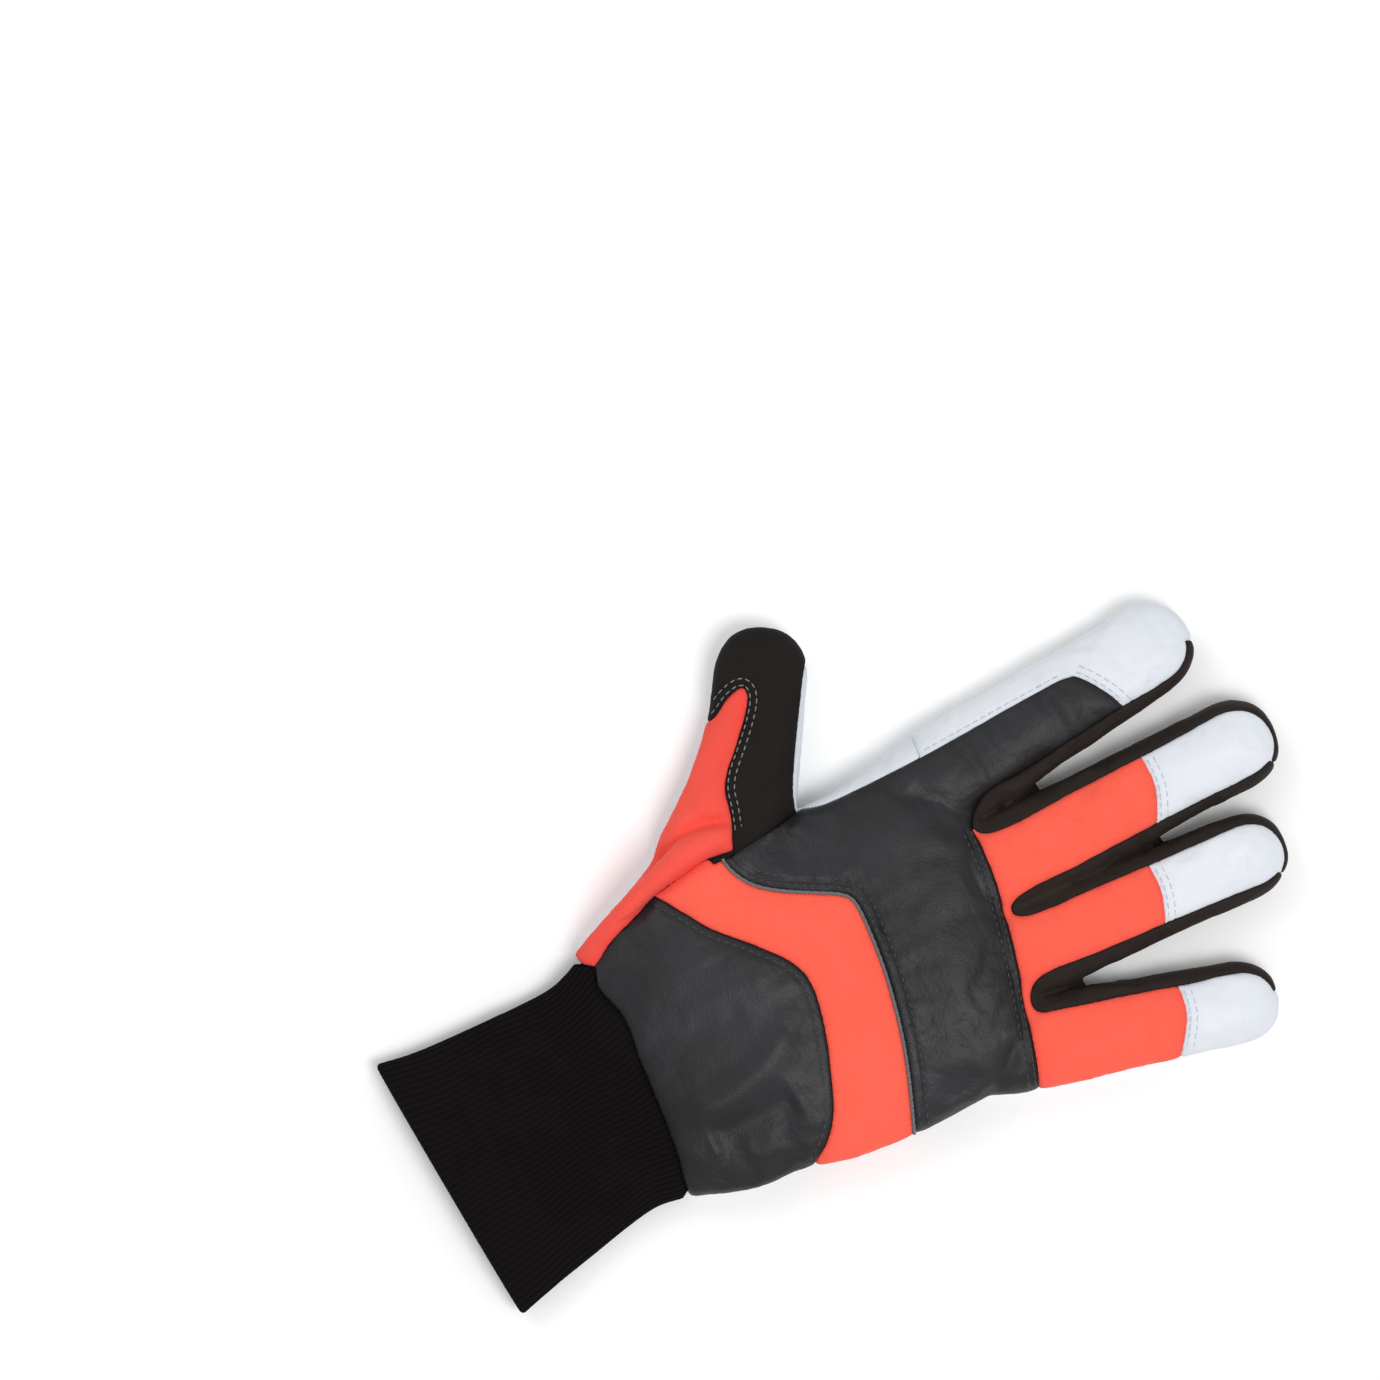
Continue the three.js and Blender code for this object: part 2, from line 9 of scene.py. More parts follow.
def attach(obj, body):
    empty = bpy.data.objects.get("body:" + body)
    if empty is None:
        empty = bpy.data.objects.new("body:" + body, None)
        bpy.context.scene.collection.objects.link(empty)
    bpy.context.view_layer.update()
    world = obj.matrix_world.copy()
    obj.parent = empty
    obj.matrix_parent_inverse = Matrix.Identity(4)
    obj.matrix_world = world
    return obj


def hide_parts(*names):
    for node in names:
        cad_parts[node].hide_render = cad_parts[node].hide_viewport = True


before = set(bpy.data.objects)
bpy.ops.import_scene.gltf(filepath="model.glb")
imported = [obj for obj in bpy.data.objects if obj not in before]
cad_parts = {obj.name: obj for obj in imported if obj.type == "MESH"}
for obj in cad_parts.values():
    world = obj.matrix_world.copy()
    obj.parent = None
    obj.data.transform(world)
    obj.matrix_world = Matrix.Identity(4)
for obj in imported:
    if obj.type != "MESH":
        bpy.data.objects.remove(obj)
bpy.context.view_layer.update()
scene = bpy.context.scene
print("frame loaded")

# sizes in metres, shared with the CAD solids
hand = {"length": 0.125, "width": 0.105, "height": 0.024, "centreShare": 0.4}
cuff = {"length": 0.067, "width": 0.086, "height": 0.015}
skin = {"widest": 0.45, "flattening": 0.0015, "sideSeam": 0.0062, "voxel": 0.00078,
        "handRound": 2.3, "fingerRound": 2.3, "rollRound": 2.0, "tipRound": 2.35, "tipShare": 0.6,
        "tipSteps": 12, "tipTurn": 7.3, "gussetInset": 0.0034, "smoothing": 8,
        "handSides": 96, "fingerSides": 64, "rollSides": 32}

# digits: root in shares of the hand, lean in degrees, and the cap's seam along the digit
indexFinger = {"root": (-0.332, 0.8), "lean": -4.6, "length": 0.1088, "width": 0.0282,
               "height": 0.0175, "flare": 1.16}
middleFinger = {"root": (-0.056, 0.8), "lean": 0.5, "length": 0.1175, "width": 0.0274,
                "height": 0.0175, "flare": 1.12, "cap": (0.664, 0.66, 0.618)}
ringFinger = {"root": (0.171, 0.8), "lean": 5.0, "length": 0.105, "width": 0.0256,
              "height": 0.0175, "flare": 1.14, "cap": (0.613, 0.617, 0.587)}
littleFinger = {"root": (0.386, 0.736), "lean": 16.8, "length": 0.0935, "width": 0.0248,
                "height": 0.0163, "flare": 1.16, "cap": (0.684, 0.693, 0.66)}
fingers = {"index": indexFinger, "middle": middleFinger, "ring": ringFinger, "little": littleFinger}
thumb = {"root": (-0.34, 0.428), "lean": -56.8, "length": 0.0795, "width": 0.0285, "height": 0.0185}

# section tables: plan ends of each section and its top, as shares of the named sizes
handRows = [
    (-0.395, 0.012, 0.374, 0.0, 0.77), (-0.438, 0.08, 0.41, 0.08, 0.86),
    (-0.478, 0.16, 0.43, 0.16, 0.92), (-0.512, 0.24, 0.438, 0.24, 0.96),
    (-0.535, 0.336, 0.474, 0.336, 0.99), (-0.51, 0.448, 0.497, 0.448, 1.0),
    (-0.481, 0.576, 0.506, 0.56, 1.0), (-0.468, 0.72, 0.507, 0.69, 0.98),
    (-0.486, 0.864, 0.512, 0.8, 0.93), (-0.49, 0.968, 0.503, 0.868, 0.82),
    (-0.465, 1.04, 0.45, 0.93, 0.62)]
cuffRows = [
    (-0.477, -1.0, 0.532, -0.945, 1.0), (-0.451, -0.82, 0.5, -0.776, 0.94),
    (-0.434, -0.52, 0.464, -0.537, 0.9), (-0.425, -0.21, 0.423, -0.24, 0.94),
    (-0.446, -0.075, 0.436, -0.09, 1.1)]
fingerRows = [(-0.02, 0.0, 0.95), (0.12, 0.75, 1.08), (0.27, 0.95, 1.07), (0.43, 0.6, 1.03),
              (0.62, 0.15, 1.0), (0.8, 0.0, 1.0)]
thumbRows = [(-0.24, -1.5, 0.3, 0.8), (-0.08, -1.25, 0.49, 1.1), (0.07, -0.99, 0.49, 1.16),
             (0.18, -0.9, 0.49, 1.1), (0.38, -0.69, 0.49, 1.04), (0.5, -0.6, 0.49, 1.0),
             (0.66, -0.5, 0.49, 1.0)]
rollRows = [(-0.5, 0.5, 0.12, 0.8), (-0.494, 0.4, 0.18, 0.9), (-0.478, 0.28, 0.16, 0.92),
            (-0.452, 0.17, 0.1, 0.74), (-0.42, 0.08, 0.07, 0.56), (-0.39, 0.0, 0.05, 0.4)]


def handPoint(x, y):
    return Vector((x * hand["width"], (y - hand["centreShare"]) * hand["length"]))


def cuffPoint(x, y):
    return Vector((x * cuff["width"], y * cuff["length"] - hand["centreShare"] * hand["length"]))


def digitPoint(digit, along, side):
    lean = math.radians(digit["lean"])
    forward = Vector((math.sin(lean), math.cos(lean)))
    right = Vector((math.cos(lean), -math.sin(lean)))
    return handPoint(*digit["root"]) + forward * along * digit["length"] + right * side * digit["width"]


# smooth curve through points, each a vector or a tuple of any length
def smoothLine(points, perSpan=8):
    p = np.array([tuple(q) for q in points], float)
    p = np.vstack([p[:1], p, p[-1:]])
    line = []
    for i in range(1, len(p) - 2):
        for k in range(perSpan):
            t = k / perSpan
            a = 2 * p[i]
            b = (p[i + 1] - p[i - 1]) * t
            c = (2 * p[i - 1] - 5 * p[i] + 4 * p[i + 1] - p[i + 2]) * t ** 2
            d = (3 * p[i] - p[i - 1] - 3 * p[i + 1] + p[i + 2]) * t ** 3
            line.append((a + b + c + d) / 2)
    line.append(p[-1])
    return np.array(line)


# smooth seams from shares of the hand, or of a digit
def handLine(*places):
    return smoothLine([handPoint(*place) for place in places])


def digitLine(digit, *places):
    return smoothLine([digitPoint(digit, *place) for place in places])


def evenLine(points, spacing):
    p = np.array([tuple(q) for q in points], float)
    lengths = np.concatenate([[0], np.cumsum(np.linalg.norm(np.diff(p, axis=0), axis=1))])
    count = max(int(round(lengths[-1] / spacing)), 1)
    at = np.linspace(0, lengths[-1], count + 1)
    return np.stack([np.interp(at, lengths, p[:, k]) for k in range(p.shape[1])], axis=1)


def deselect():
    if bpy.context.mode != "OBJECT":
        bpy.ops.object.mode_set(mode="OBJECT")
    bpy.ops.object.select_all(action="DESELECT")


def pick(obj):
    deselect()
    obj.select_set(True)
    bpy.context.view_layer.objects.active = obj
    return obj


def added(name):
    obj = bpy.context.object
    obj.name = name
    obj.data.name = name
    return obj


def duplicate(obj, name):
    copy = obj.copy()
    copy.data = obj.data.copy()
    copy.name = name
    scene.collection.objects.link(copy)
    return copy


def applied(obj, kind, **settings):
    pick(obj)
    modifier = obj.modifiers.new(kind, kind)
    for key, value in settings.items():
        setattr(modifier, key, value)
    bpy.ops.object.modifier_apply(modifier=modifier.name)
    return obj


def points(obj):
    co = np.zeros(len(obj.data.vertices) * 3)
    obj.data.vertices.foreach_get("co", co)
    return co.reshape(-1, 3)


def normals(obj):
    n = np.zeros(len(obj.data.vertices) * 3)
    obj.data.vertices.foreach_get("normal", n)
    return n.reshape(-1, 3)


def place(obj, co):
    obj.data.vertices.foreach_set("co", np.ascontiguousarray(co, float).ravel())
    obj.data.update()


# edit mode with everything selected
def editAll(obj):
    pick(obj)
    bpy.ops.object.mode_set(mode="EDIT")
    bpy.ops.mesh.select_all(action="SELECT")


# the selected faces are turned outward, and edit mode ends
def faceOut():
    bpy.ops.mesh.normals_make_consistent(inside=False)
    bpy.ops.object.mode_set(mode="OBJECT")


def joined(parts, name):
    deselect()
    for part in parts:
        part.select_set(True)
    bpy.context.view_layer.objects.active = parts[0]
    bpy.ops.object.join()
    return added(name)


def treeOf(spots):
    tree = kdtree.KDTree(len(spots))
    for i, spot in enumerate(spots):
        tree.insert(spot, i)
    tree.balance()
    return tree


tiny = 1e-9  # keeps lengths of zero out of divisions


def unitRows(rows):
    return rows / np.maximum(np.linalg.norm(rows, axis=1), tiny)[:, None]


def smoothStep(x):
    x = np.clip(x, 0, 1)
    return x * x * (3 - 2 * x)


def keptAbove(co, low):
    co[:, 2] = np.maximum(co[:, 2], low)
    return co


# one point of a section that stands over the plan line from left to right
def sectionPoint(left, right, tall, roundness, angle, fullness=1.0):
    half = (right - left).length / 2 * fullness
    across = (right - left).normalized()
    widest = tall * skin["widest"]
    c, s = math.cos(angle), math.sin(angle)
    x = half * math.copysign(abs(c) ** (2 / roundness), c)
    reach = (tall - widest if s > 0 else widest + skin["flattening"]) * fullness
    z = widest + reach * math.copysign(abs(s) ** (2 / roundness), s)
    middle = (left + right) / 2
    return Vector((middle.x + across.x * x, middle.y + across.y * x, z))


# a closed form from sections: a sphere whose rings are moved onto them
def formThrough(name, sections, roundness, sides):
    deselect()
    bpy.ops.mesh.primitive_uv_sphere_add(segments=sides, ring_count=len(sections) + 1, radius=1)
    form = added(name)
    rings = len(sections) + 1
    moved = []
    for vertex in form.data.vertices:
        ring = round(math.acos(max(-1, min(1, vertex.co.z))) / math.pi * rings)
        left, right, tall, fullness = sections[min(max(ring - 1, 0), len(sections) - 1)]
        if ring in (0, rings):
            top, low = [sectionPoint(left, right, tall, roundness, angle, fullness)
                        for angle in (math.pi / 2, -math.pi / 2)]
            moved.append((top + low) / 2)
        else:
            angle = math.atan2(vertex.co.y, vertex.co.x)
            moved.append(sectionPoint(left, right, tall, roundness, angle, fullness))
    place(form, moved)
    editAll(form)
    faceOut()
    return form


# the cuff's rows and so many of the hand's, in metres
def trunkRows(handCount):
    rows = [(*cuffPoint(a, b), *cuffPoint(c, d), e * cuff["height"]) for a, b, c, d, e in cuffRows]
    for a, b, c, d, e in handRows[:handCount]:
        rows.append((*handPoint(a, b), *handPoint(c, d), e * hand["height"]))
    return rows


def sectionsThrough(rows):
    return [(Vector(r[:2]), Vector(r[2:4]), r[4], 1.0) for r in smoothLine(rows, 4)]


def digitSections(digit, rows):
    tipLength = digit["width"] * skin["tipShare"] / digit["length"]
    sections = [(digitPoint(digit, a, b), digitPoint(digit, a, c), d * digit["height"], 1.0)
                for a, b, c, d in smoothLine(rows, 4) if a < 1 - tipLength]
    left, right, tall = rows[-1][1:]
    for step in range(1, skin["tipSteps"] + 1):
        angle = math.radians(skin["tipTurn"] * step)
        along = 1 - tipLength + tipLength * math.sin(angle) ** (2 / skin["tipRound"])
        sections.append((digitPoint(digit, along, left), digitPoint(digit, along, right),
                         tall * digit["height"], math.cos(angle) ** (2 / skin["tipRound"])))
    return sections


def fingerSections(finger):
    rows = []
    for along, flared, tall in fingerRows:
        half = 0.5 * (1 + (finger["flare"] - 1) * flared)
        rows.append((along, -half, half, tall))
    return digitSections(finger, rows)


def rollSections():
    rows = []
    for i, (x, y, half, tall) in enumerate(rollRows):
        before = rollRows[max(i - 1, 0)]
        after = rollRows[min(i + 1, len(rollRows) - 1)]
        way = (handPoint(*after[:2]) - handPoint(*before[:2])).normalized()
        across = Vector((way.y, -way.x)) * half * thumb["width"]
        spot = handPoint(x, y)
        rows.append((*(spot + across), *(spot - across), tall * hand["height"]))
    return sectionsThrough(rows)


# the whole soft form, fused and smoothed
def gloveForm():
    trunk = sectionsThrough(trunkRows(len(handRows)))
    parts = [formThrough("trunk", trunk, skin["handRound"], skin["handSides"])]
    digits = {name: fingerSections(finger) for name, finger in fingers.items()}
    digits["thumb"] = digitSections(thumb, thumbRows)
    for name, sections in digits.items():
        parts.append(formThrough(name, sections, skin["fingerRound"], skin["fingerSides"]))
    parts.append(formThrough("roll", rollSections(), skin["rollRound"], skin["rollSides"]))
    form = joined(parts, "gloveForm")
    applied(form, "REMESH", mode="VOXEL", voxel_size=skin["voxel"])
    applied(form, "SMOOTH", factor=0.5, iterations=skin["smoothing"])
    return form


# outlines of the panels, in plan
farAway = 0.4
lowerCorners = [(farAway, -farAway), (-farAway, -farAway)]
wristSeam = handLine((-0.56, -0.02), (-0.395, 0.0), (-0.352, 0.03), (-0.286, 0.014), (-0.181, 0.038),
                     (-0.076, 0.024), (0.19, 0.0), (0.367, -0.028), (0.5, -0.04))


# point on a fingertip's outline, inset in metres, at an angle from its side towards its end
def tipEdge(finger, angle, inset, side):
    tipLength = finger["width"] * skin["tipShare"]
    bend = math.radians(angle)
    reach = (tipLength - inset) * math.sin(bend) ** (2 / skin["tipRound"])
    half = (0.5 - inset / finger["width"]) * math.cos(bend) ** (2 / skin["tipRound"])
    return digitPoint(finger, 1 + (reach - tipLength) / finger["length"], side * half)


# each arm: angle round the tip and width of the strip there, ending past the tip's middle if crossing
gussetArms = {
    "short": [(0, 0.0031), (24, 0.0026), (45, 0.0021), (62, 0.0018), (74, 0.0016)],
    "round": [(0, 0.0031), (24, 0.0027), (48, 0.0022), (68, 0.0017), (84, 0.0012)],
    "blunt": [(0, 0.0031), (18, 0.0027), (34, 0.0021), (44, 0.0015)]}
thinEdge = [(84, 0.0009), (66, 0.0009), (46, 0.0009)]


def gussetOutline(left, right, leftLow, rightLow, turnX, turnY, leftArm, rightArm, crossing, outside):
    leftInset = 0.5 - skin["gussetInset"] / left["width"]
    rightInset = skin["gussetInset"] / right["width"] - 0.5
    line = [tipEdge(left, a, w, 1) for a, w in gussetArms[leftArm][::-1]]
    line += [digitPoint(left, along, leftInset) for along in (0.72, 0.56, 0.4, leftLow)]
    line.append(handPoint(turnX, turnY))
    line += [digitPoint(right, along, rightInset) for along in (rightLow, 0.45, 0.6, 0.74)]
    line += [tipEdge(right, a, w, -1) for a, w in gussetArms[rightArm]]
    if crossing:
        line += [tipEdge(right, a, w, 1) for a, w in thinEdge]
    return [*smoothLine(line), *[digitPoint(*spot) for spot in outside]]


gussetZones = {
    "gusset_index_middle": gussetOutline(
        indexFinger, middleFinger, 0.28, 0.26, -0.192, 0.992, "short", "round", True,
        [(middleFinger, 1.0, 0.8), (middleFinger, 1.12, 0.6), (middleFinger, 1.12, -0.7),
         (indexFinger, 1.1, 0.75), (indexFinger, 1.1, 0.3)]),
    "gusset_middle_ring": gussetOutline(
        middleFinger, ringFinger, 0.235, 0.26, 0.074, 0.978, "blunt", "round", True,
        [(ringFinger, 1.0, 0.8), (ringFinger, 1.12, 0.6), (ringFinger, 1.13, -0.45),
         (middleFinger, 1.02, 0.62)]),
    "gusset_ring_little": gussetOutline(
        ringFinger, littleFinger, 0.2, 0.33, 0.352, 0.918, "blunt", "round", False,
        [(littleFinger, 1.12, 0.12), (littleFinger, 1.12, -0.7), (ringFinger, 1.1, 0.75),
         (ringFinger, 1.02, 0.62)])}

wrapSeam = smoothLine([handPoint(-0.476, 0.643), *[digitPoint(indexFinger, *place) for place in [
    (-0.083, -0.47), (0.19, -0.35), (0.46, -0.285), (0.63, -0.24)]]])
indexCapSeam = digitLine(indexFinger, (0.665, -0.2), (0.688, -0.07), (0.72, 0.18), (0.738, 0.46),
                         (0.742, 0.75))
wrapZone = [handPoint(-0.6, 0.79), *wrapSeam, *indexCapSeam, digitPoint(indexFinger, 1.2, 0.75),
            digitPoint(indexFinger, 1.2, -1.2), digitPoint(indexFinger, 0.0, -1.2)]
thumbEdgeZone = [
    *digitLine(thumb, (0.325, 0.5), (0.4, 0.46), (0.52, 0.445), (0.72, 0.45), (0.86, 0.46), (0.96, 0.5)),
    digitPoint(thumb, 1.0, 0.7), digitPoint(thumb, 0.6, 0.8), digitPoint(thumb, 0.34, 0.56)]
thumbClothSeam = handLine((-0.335, -0.06), (-0.352, 0.03), (-0.39, 0.096), (-0.419, 0.176), (-0.443, 0.24),
                          (-0.459, 0.32), (-0.467, 0.39), (-0.457, 0.456))
thumbPointSeam = digitLine(
    thumb, (0.222, -0.155), (0.312, -0.217), (0.375, -0.275), (0.45, -0.272), (0.555, -0.2), (0.66, -0.14),
    (0.735, -0.13), (0.765, -0.2), (0.72, -0.34), (0.64, -0.48), (0.6, -0.7))
knuckleTop = handLine((-0.19, 0.99), (-0.048, 0.98), (0.095, 0.956), (0.238, 0.924), (0.381, 0.888),
                      (0.514, 0.852), (0.62, 0.815))
knuckleBottom = handLine(
    (-0.53, 0.4), (-0.457, 0.42), (-0.4, 0.432), (-0.343, 0.46), (-0.295, 0.508), (-0.248, 0.572),
    (-0.205, 0.632), (-0.167, 0.656), (-0.048, 0.652), (0.095, 0.634), (0.286, 0.592), (0.505, 0.52),
    (0.62, 0.475))
wristGuardTop = handLine(
    (-0.5, 0.2), (-0.443, 0.24), (-0.362, 0.284), (-0.286, 0.324), (-0.19, 0.396), (-0.095, 0.456),
    (-0.01, 0.472), (0.114, 0.45), (0.238, 0.412), (0.343, 0.372), (0.41, 0.324), (0.452, 0.276),
    (0.56, 0.2))


def capSeam(finger):
    left, middle, right = finger["cap"]
    return digitLine(finger, (left - 0.008, -0.6), (left, -0.38), (middle, 0), (right, 0.42),
                     (right - 0.015, 0.6))


def capZone(finger):
    return [*capSeam(finger), digitPoint(finger, 1.3, 0.6), digitPoint(finger, 1.3, -0.6)]


# panels of the back, in the order in which they are taken off
backZones = {
    "thumb_cloth": [*thumbClothSeam, *thumbPointSeam, digitPoint(thumb, 0.1, -1.6), handPoint(-0.6, -0.2)],
    "thumb_back": [
        *handLine((-0.478, 0.7), (-0.474, 0.64), (-0.452, 0.56), (-0.449, 0.44), (-0.449, 0.4)),
        digitPoint(thumb, 0.2, -0.6), digitPoint(thumb, 1.2, -0.9), digitPoint(thumb, 1.2, 0.9)],
    "fingertip_middle": capZone(middleFinger),
    "fingertip_ring": capZone(ringFinger),
    "fingertip_little": capZone(littleFinger),
    "finger_cloth": [*knuckleTop, digitPoint(littleFinger, 1.2, 2), digitPoint(middleFinger, 1.2, 0),
                     digitPoint(middleFinger, 1.2, -0.6), digitPoint(middleFinger, 0.5, -0.57)],
    "wrist_guard": [*wristGuardTop, *lowerCorners],
    "back_cloth": [*knuckleBottom, *lowerCorners]}

thumbPalmSeam = handLine(
    (-0.281, -0.1), (-0.281, 0.096), (-0.281, 0.224), (-0.286, 0.368), (-0.3, 0.48), (-0.324, 0.56),
    (-0.362, 0.616), (-0.419, 0.642), (-0.474, 0.64))
patchTop = handLine((-0.7, 0.975), (-0.514, 0.962), (-0.381, 0.95), (-0.19, 0.932), (0, 0.9), (0.19, 0.88),
                    (0.362, 0.848), (0.514, 0.808), (0.7, 0.75))
palmZones = {
    "thumb_palm": [*thumbPalmSeam, digitPoint(thumb, 0.4, 0.62), digitPoint(thumb, 0.6, 0.9),
                   digitPoint(thumb, 1.3, 0.9), digitPoint(thumb, 1.3, -1.5), handPoint(-0.8, -0.3)],
    "palm_patch": [*lowerCorners, *patchTop]}
# quilting lines in plan: start at the index finger's side, end at the little finger's
quiltEnds = [(0.048, 0.033), (0.029, 0.006), (0.002, -0.0184), (-0.024, -0.0445)]
quilting = [smoothLine([(-0.036, left), (0.008, left * 0.55 + right * 0.45), (0.062, right)])
            for left, right in quiltEnds]


# folds of the back, in mm: rise, half width, path in plan
folds = [
    (2.2, 3.2, [(-53.2, 10), (-54.3, 1.8), (-54.5, -5.9), (-52.5, -13.6), (-50, -21.6), (-46.7, -30),
                (-43, -39.8), (-40.8, -47)]),
    (-3, 1.9, [(-55.2, 12.5), (-58.5, 5.2), (-59.8, -0.9), (-59.2, -8), (-56.8, -15.3), (-53.5, -21.3)]),
    (-1.1, 1.6, [(-48.4, 9), (-48.6, 1), (-48.7, -5.6), (-48, -12.6), (-46.7, -19.5), (-44.4, -25.7),
                 (-42, -33)]),
    (0.6, 4, [(-60, -8), (-64, 3), (-66.5, 11)]),
    (-0.6, 2.5, [(-70, 6), (-73.5, 16), (-77, 23)]),
    (1.9, 5, [(14, -41.7), (16.7, -32), (15, -21.2), (10.9, -10.3), (6.2, -2.9)]),
    (-2.6, 5.8, [(25.4, -40), (26.7, -24.9), (26.2, -10.5)]),
    (-0.7, 6, [(-15, -40), (-6, -28), (-4, -12)]),
    (-0.9, 2.2, [(-23.9, 74), (-26, 85.4), (-27.5, 96), (-29, 106)]),
    (0.6, 6, [(36.2, 26.2), (39.5, 43.3), (42.2, 59.3)]),
    (-0.6, 6, [(-40, 30), (-20, 42), (-5, 48)]),
    (0.6, 5, [(-45, 60), (-33, 56), (-20, 62)]),
    (-0.5, 2.2, [(-86, 23), (-80, 33), (-77, 42)]),
    (-0.9, 2, [(-62, 28), (-56, 20), (-48, 14)])]
foldEnds = {"reach": 0.18, "least": 0.35}  # share of the path, and share of the rise left at its ends
# light creases across the fingers' backs: place along the finger, depth
knuckleCreases = [(0.3, -0.0004), (0.36, 0.0003), (0.56, -0.0004), (0.6, 0.0003), (0.86, -0.0002)]
unevenness = [(0.022, 0.0005, 3.1), (0.009, 0.00022, 8.7), (0.0042, 0.00008, 2.3)]  # wavelength, height, seed
creaseLook = {"width": 0.016, "across": 0.62, "wander": 0.012, "wave": 0.008}  # shares, and the wave in m
gathers = {"wave": 0.0065, "height": 0.0007, "reach": 0.009, "seed": 5.5}
palmRest = {"low": 0.0002, "height": 0.0005, "wave": 0.018, "seed": 1.7}  # the palm rests on its high points
softBody = {"voxel": 0.0031, "pressure": 4.0, "shrink": -0.02, "frames": 20, "cap": 0.0011,
            "pinReach": 0.0045, "sides": 0.35, "blend": 0.0003}
padSeams = [knuckleTop, knuckleBottom, wristGuardTop, wristSeam, thumbClothSeam, thumbPointSeam,
            capSeam(middleFinger), capSeam(ringFinger), capSeam(littleFinger), wrapSeam, indexCapSeam]
palmSeams = [patchTop, thumbPalmSeam, wristSeam, *quilting]


def ripple(co, wavelength, seed, stretch=(1, 1, 1)):
    scale = np.array(stretch) / wavelength
    return np.array([noise.noise(Vector(p)) for p in co * scale + seed])


# the closed form swells a little between its seams, like stuffed cloth
def swell(form):
    coarse = duplicate(form, "softCopy")
    applied(coarse, "REMESH", mode="VOXEL", voxel_size=softBody["voxel"])
    before = points(coarse)
    facing = normals(coarse)[:, 2]
    away = np.full(len(before), farAway)
    for lines, side in ((padSeams, facing > 0), (palmSeams, facing < 0)):
        for line in lines:
            d = planDistance(before, line)[0]
            away = np.where(side, np.minimum(away, d), away)
    pinned = np.exp(-(away / softBody["pinReach"]) ** 2)
    pinned[np.abs(facing) < softBody["sides"]] = 1.0
    group = coarse.vertex_groups.new(name="seams")
    for i, weight in enumerate(pinned):
        group.add([i], float(weight), "REPLACE")
    pick(coarse)
    cloth = coarse.modifiers.new("cloth", "CLOTH")
    cloth.settings.vertex_group_mass = "seams"
    cloth.settings.use_pressure = True
    cloth.settings.uniform_pressure_force = softBody["pressure"]
    cloth.settings.shrink_min = softBody["shrink"]
    cloth.settings.effector_weights.gravity = 0
    cloth.point_cache.frame_end = softBody["frames"]
    for step in range(1, softBody["frames"] + 1):
        scene.frame_set(step)
    bpy.ops.object.modifier_apply(modifier=cloth.name)
    scene.frame_set(1)
    moved = points(coarse) - before
    length = np.linalg.norm(moved, axis=1)
    cap = softBody["cap"]
    moved *= (cap * np.tanh(length / cap) / np.maximum(length, tiny))[:, None]
    tree = treeOf(before)
    co = points(form)
    for i, spot in enumerate(co):
        near = tree.find_n(spot, 4)
        weights = np.array([1 / (d + softBody["blend"]) for _, _, d in near])
        co[i] += (moved[[n for _, n, _ in near]] * weights[:, None]).sum(0) / weights.sum()
    place(form, co)
    bpy.data.objects.remove(coarse)


def foldForm(form):
    co, out = points(form), normals(form)
    top = smoothStep(out[:, 2] * 2.5)
    amount = np.zeros(len(co))
    for rise, width, path in folds:
        d, along = planDistance(co, smoothLine(path) * 0.001)
        fade = smoothStep(along / foldEnds["reach"]) * smoothStep((1 - along) / foldEnds["reach"])
        strength = foldEnds["least"] + (1 - foldEnds["least"]) * fade
        amount += 0.001 * rise * np.exp(-(d / (0.001 * width)) ** 2) * strength * top
    for finger in fingers.values():
        lean = math.radians(finger["lean"])
        offset = co[:, :2] - np.array(handPoint(*finger["root"]))
        along = offset @ np.array([math.sin(lean), math.cos(lean)]) / finger["length"]
        side = offset @ np.array([math.cos(lean), -math.sin(lean)]) / finger["width"]
        along += creaseLook["wander"] * ripple(co, creaseLook["wave"], finger["lean"])
        near = (np.abs(side) < creaseLook["across"]) * top
        for spot, rise in knuckleCreases:
            amount += rise * np.exp(-((along - spot) / creaseLook["width"]) ** 2) * near
    seamY = np.interp(co[:, 0], wristSeam[:, 0], wristSeam[:, 1])
    above = np.maximum(co[:, 1] - seamY, 0)
    gather = ripple(co, gathers["wave"], gathers["seed"], (1, 0.25, 1))
    amount += gathers["height"] * gather * np.exp(-above / gathers["reach"]) * (co[:, 1] > seamY)
    for wavelength, height, seed in unevenness:
        amount += height * ripple(co, wavelength, seed)
    co += out * amount[:, None]
    uneven = (ripple(co, palmRest["wave"], palmRest["seed"]) + 0.5).clip(0) * smoothStep(-out[:, 2] * 2)
    place(form, keptAbove(co, palmRest["low"] + palmRest["height"] * uneven))


cutReach = 0.1


# upright cutter over a plan outline; its faces carry the second material, so that a cut shows as one
def cutter(outline, low=-cutReach, high=cutReach):
    deselect()
    bpy.ops.mesh.primitive_circle_add(vertices=len(outline), fill_type="NGON")
    prism = added("cutter")
    place(prism, [(p[0], p[1], low) for p in outline])
    editAll(prism)
    bpy.ops.mesh.extrude_region_move(TRANSFORM_OT_translate={"value": (0, 0, high - low)})
    bpy.ops.mesh.select_all(action="SELECT")
    faceOut()
    for slot in (skinMark, cutMark):
        prism.data.materials.append(slot)
    for face in prism.data.polygons:
        face.material_index = 1
    return prism


def carve(obj, prism, operation):
    return applied(obj, "BOOLEAN", object=prism, operation=operation, solver="MANIFOLD")


# what lies inside an outline is taken off as a new piece
def takeOff(obj, name, prism):
    piece = duplicate(obj, name)
    carve(piece, prism, "INTERSECT")
    carve(obj, prism, "DIFFERENCE")
    bpy.data.objects.remove(prism)
    return piece


skinMark = bpy.data.materials.new("skinMark")
cutMark = bpy.data.materials.new("cutMark")


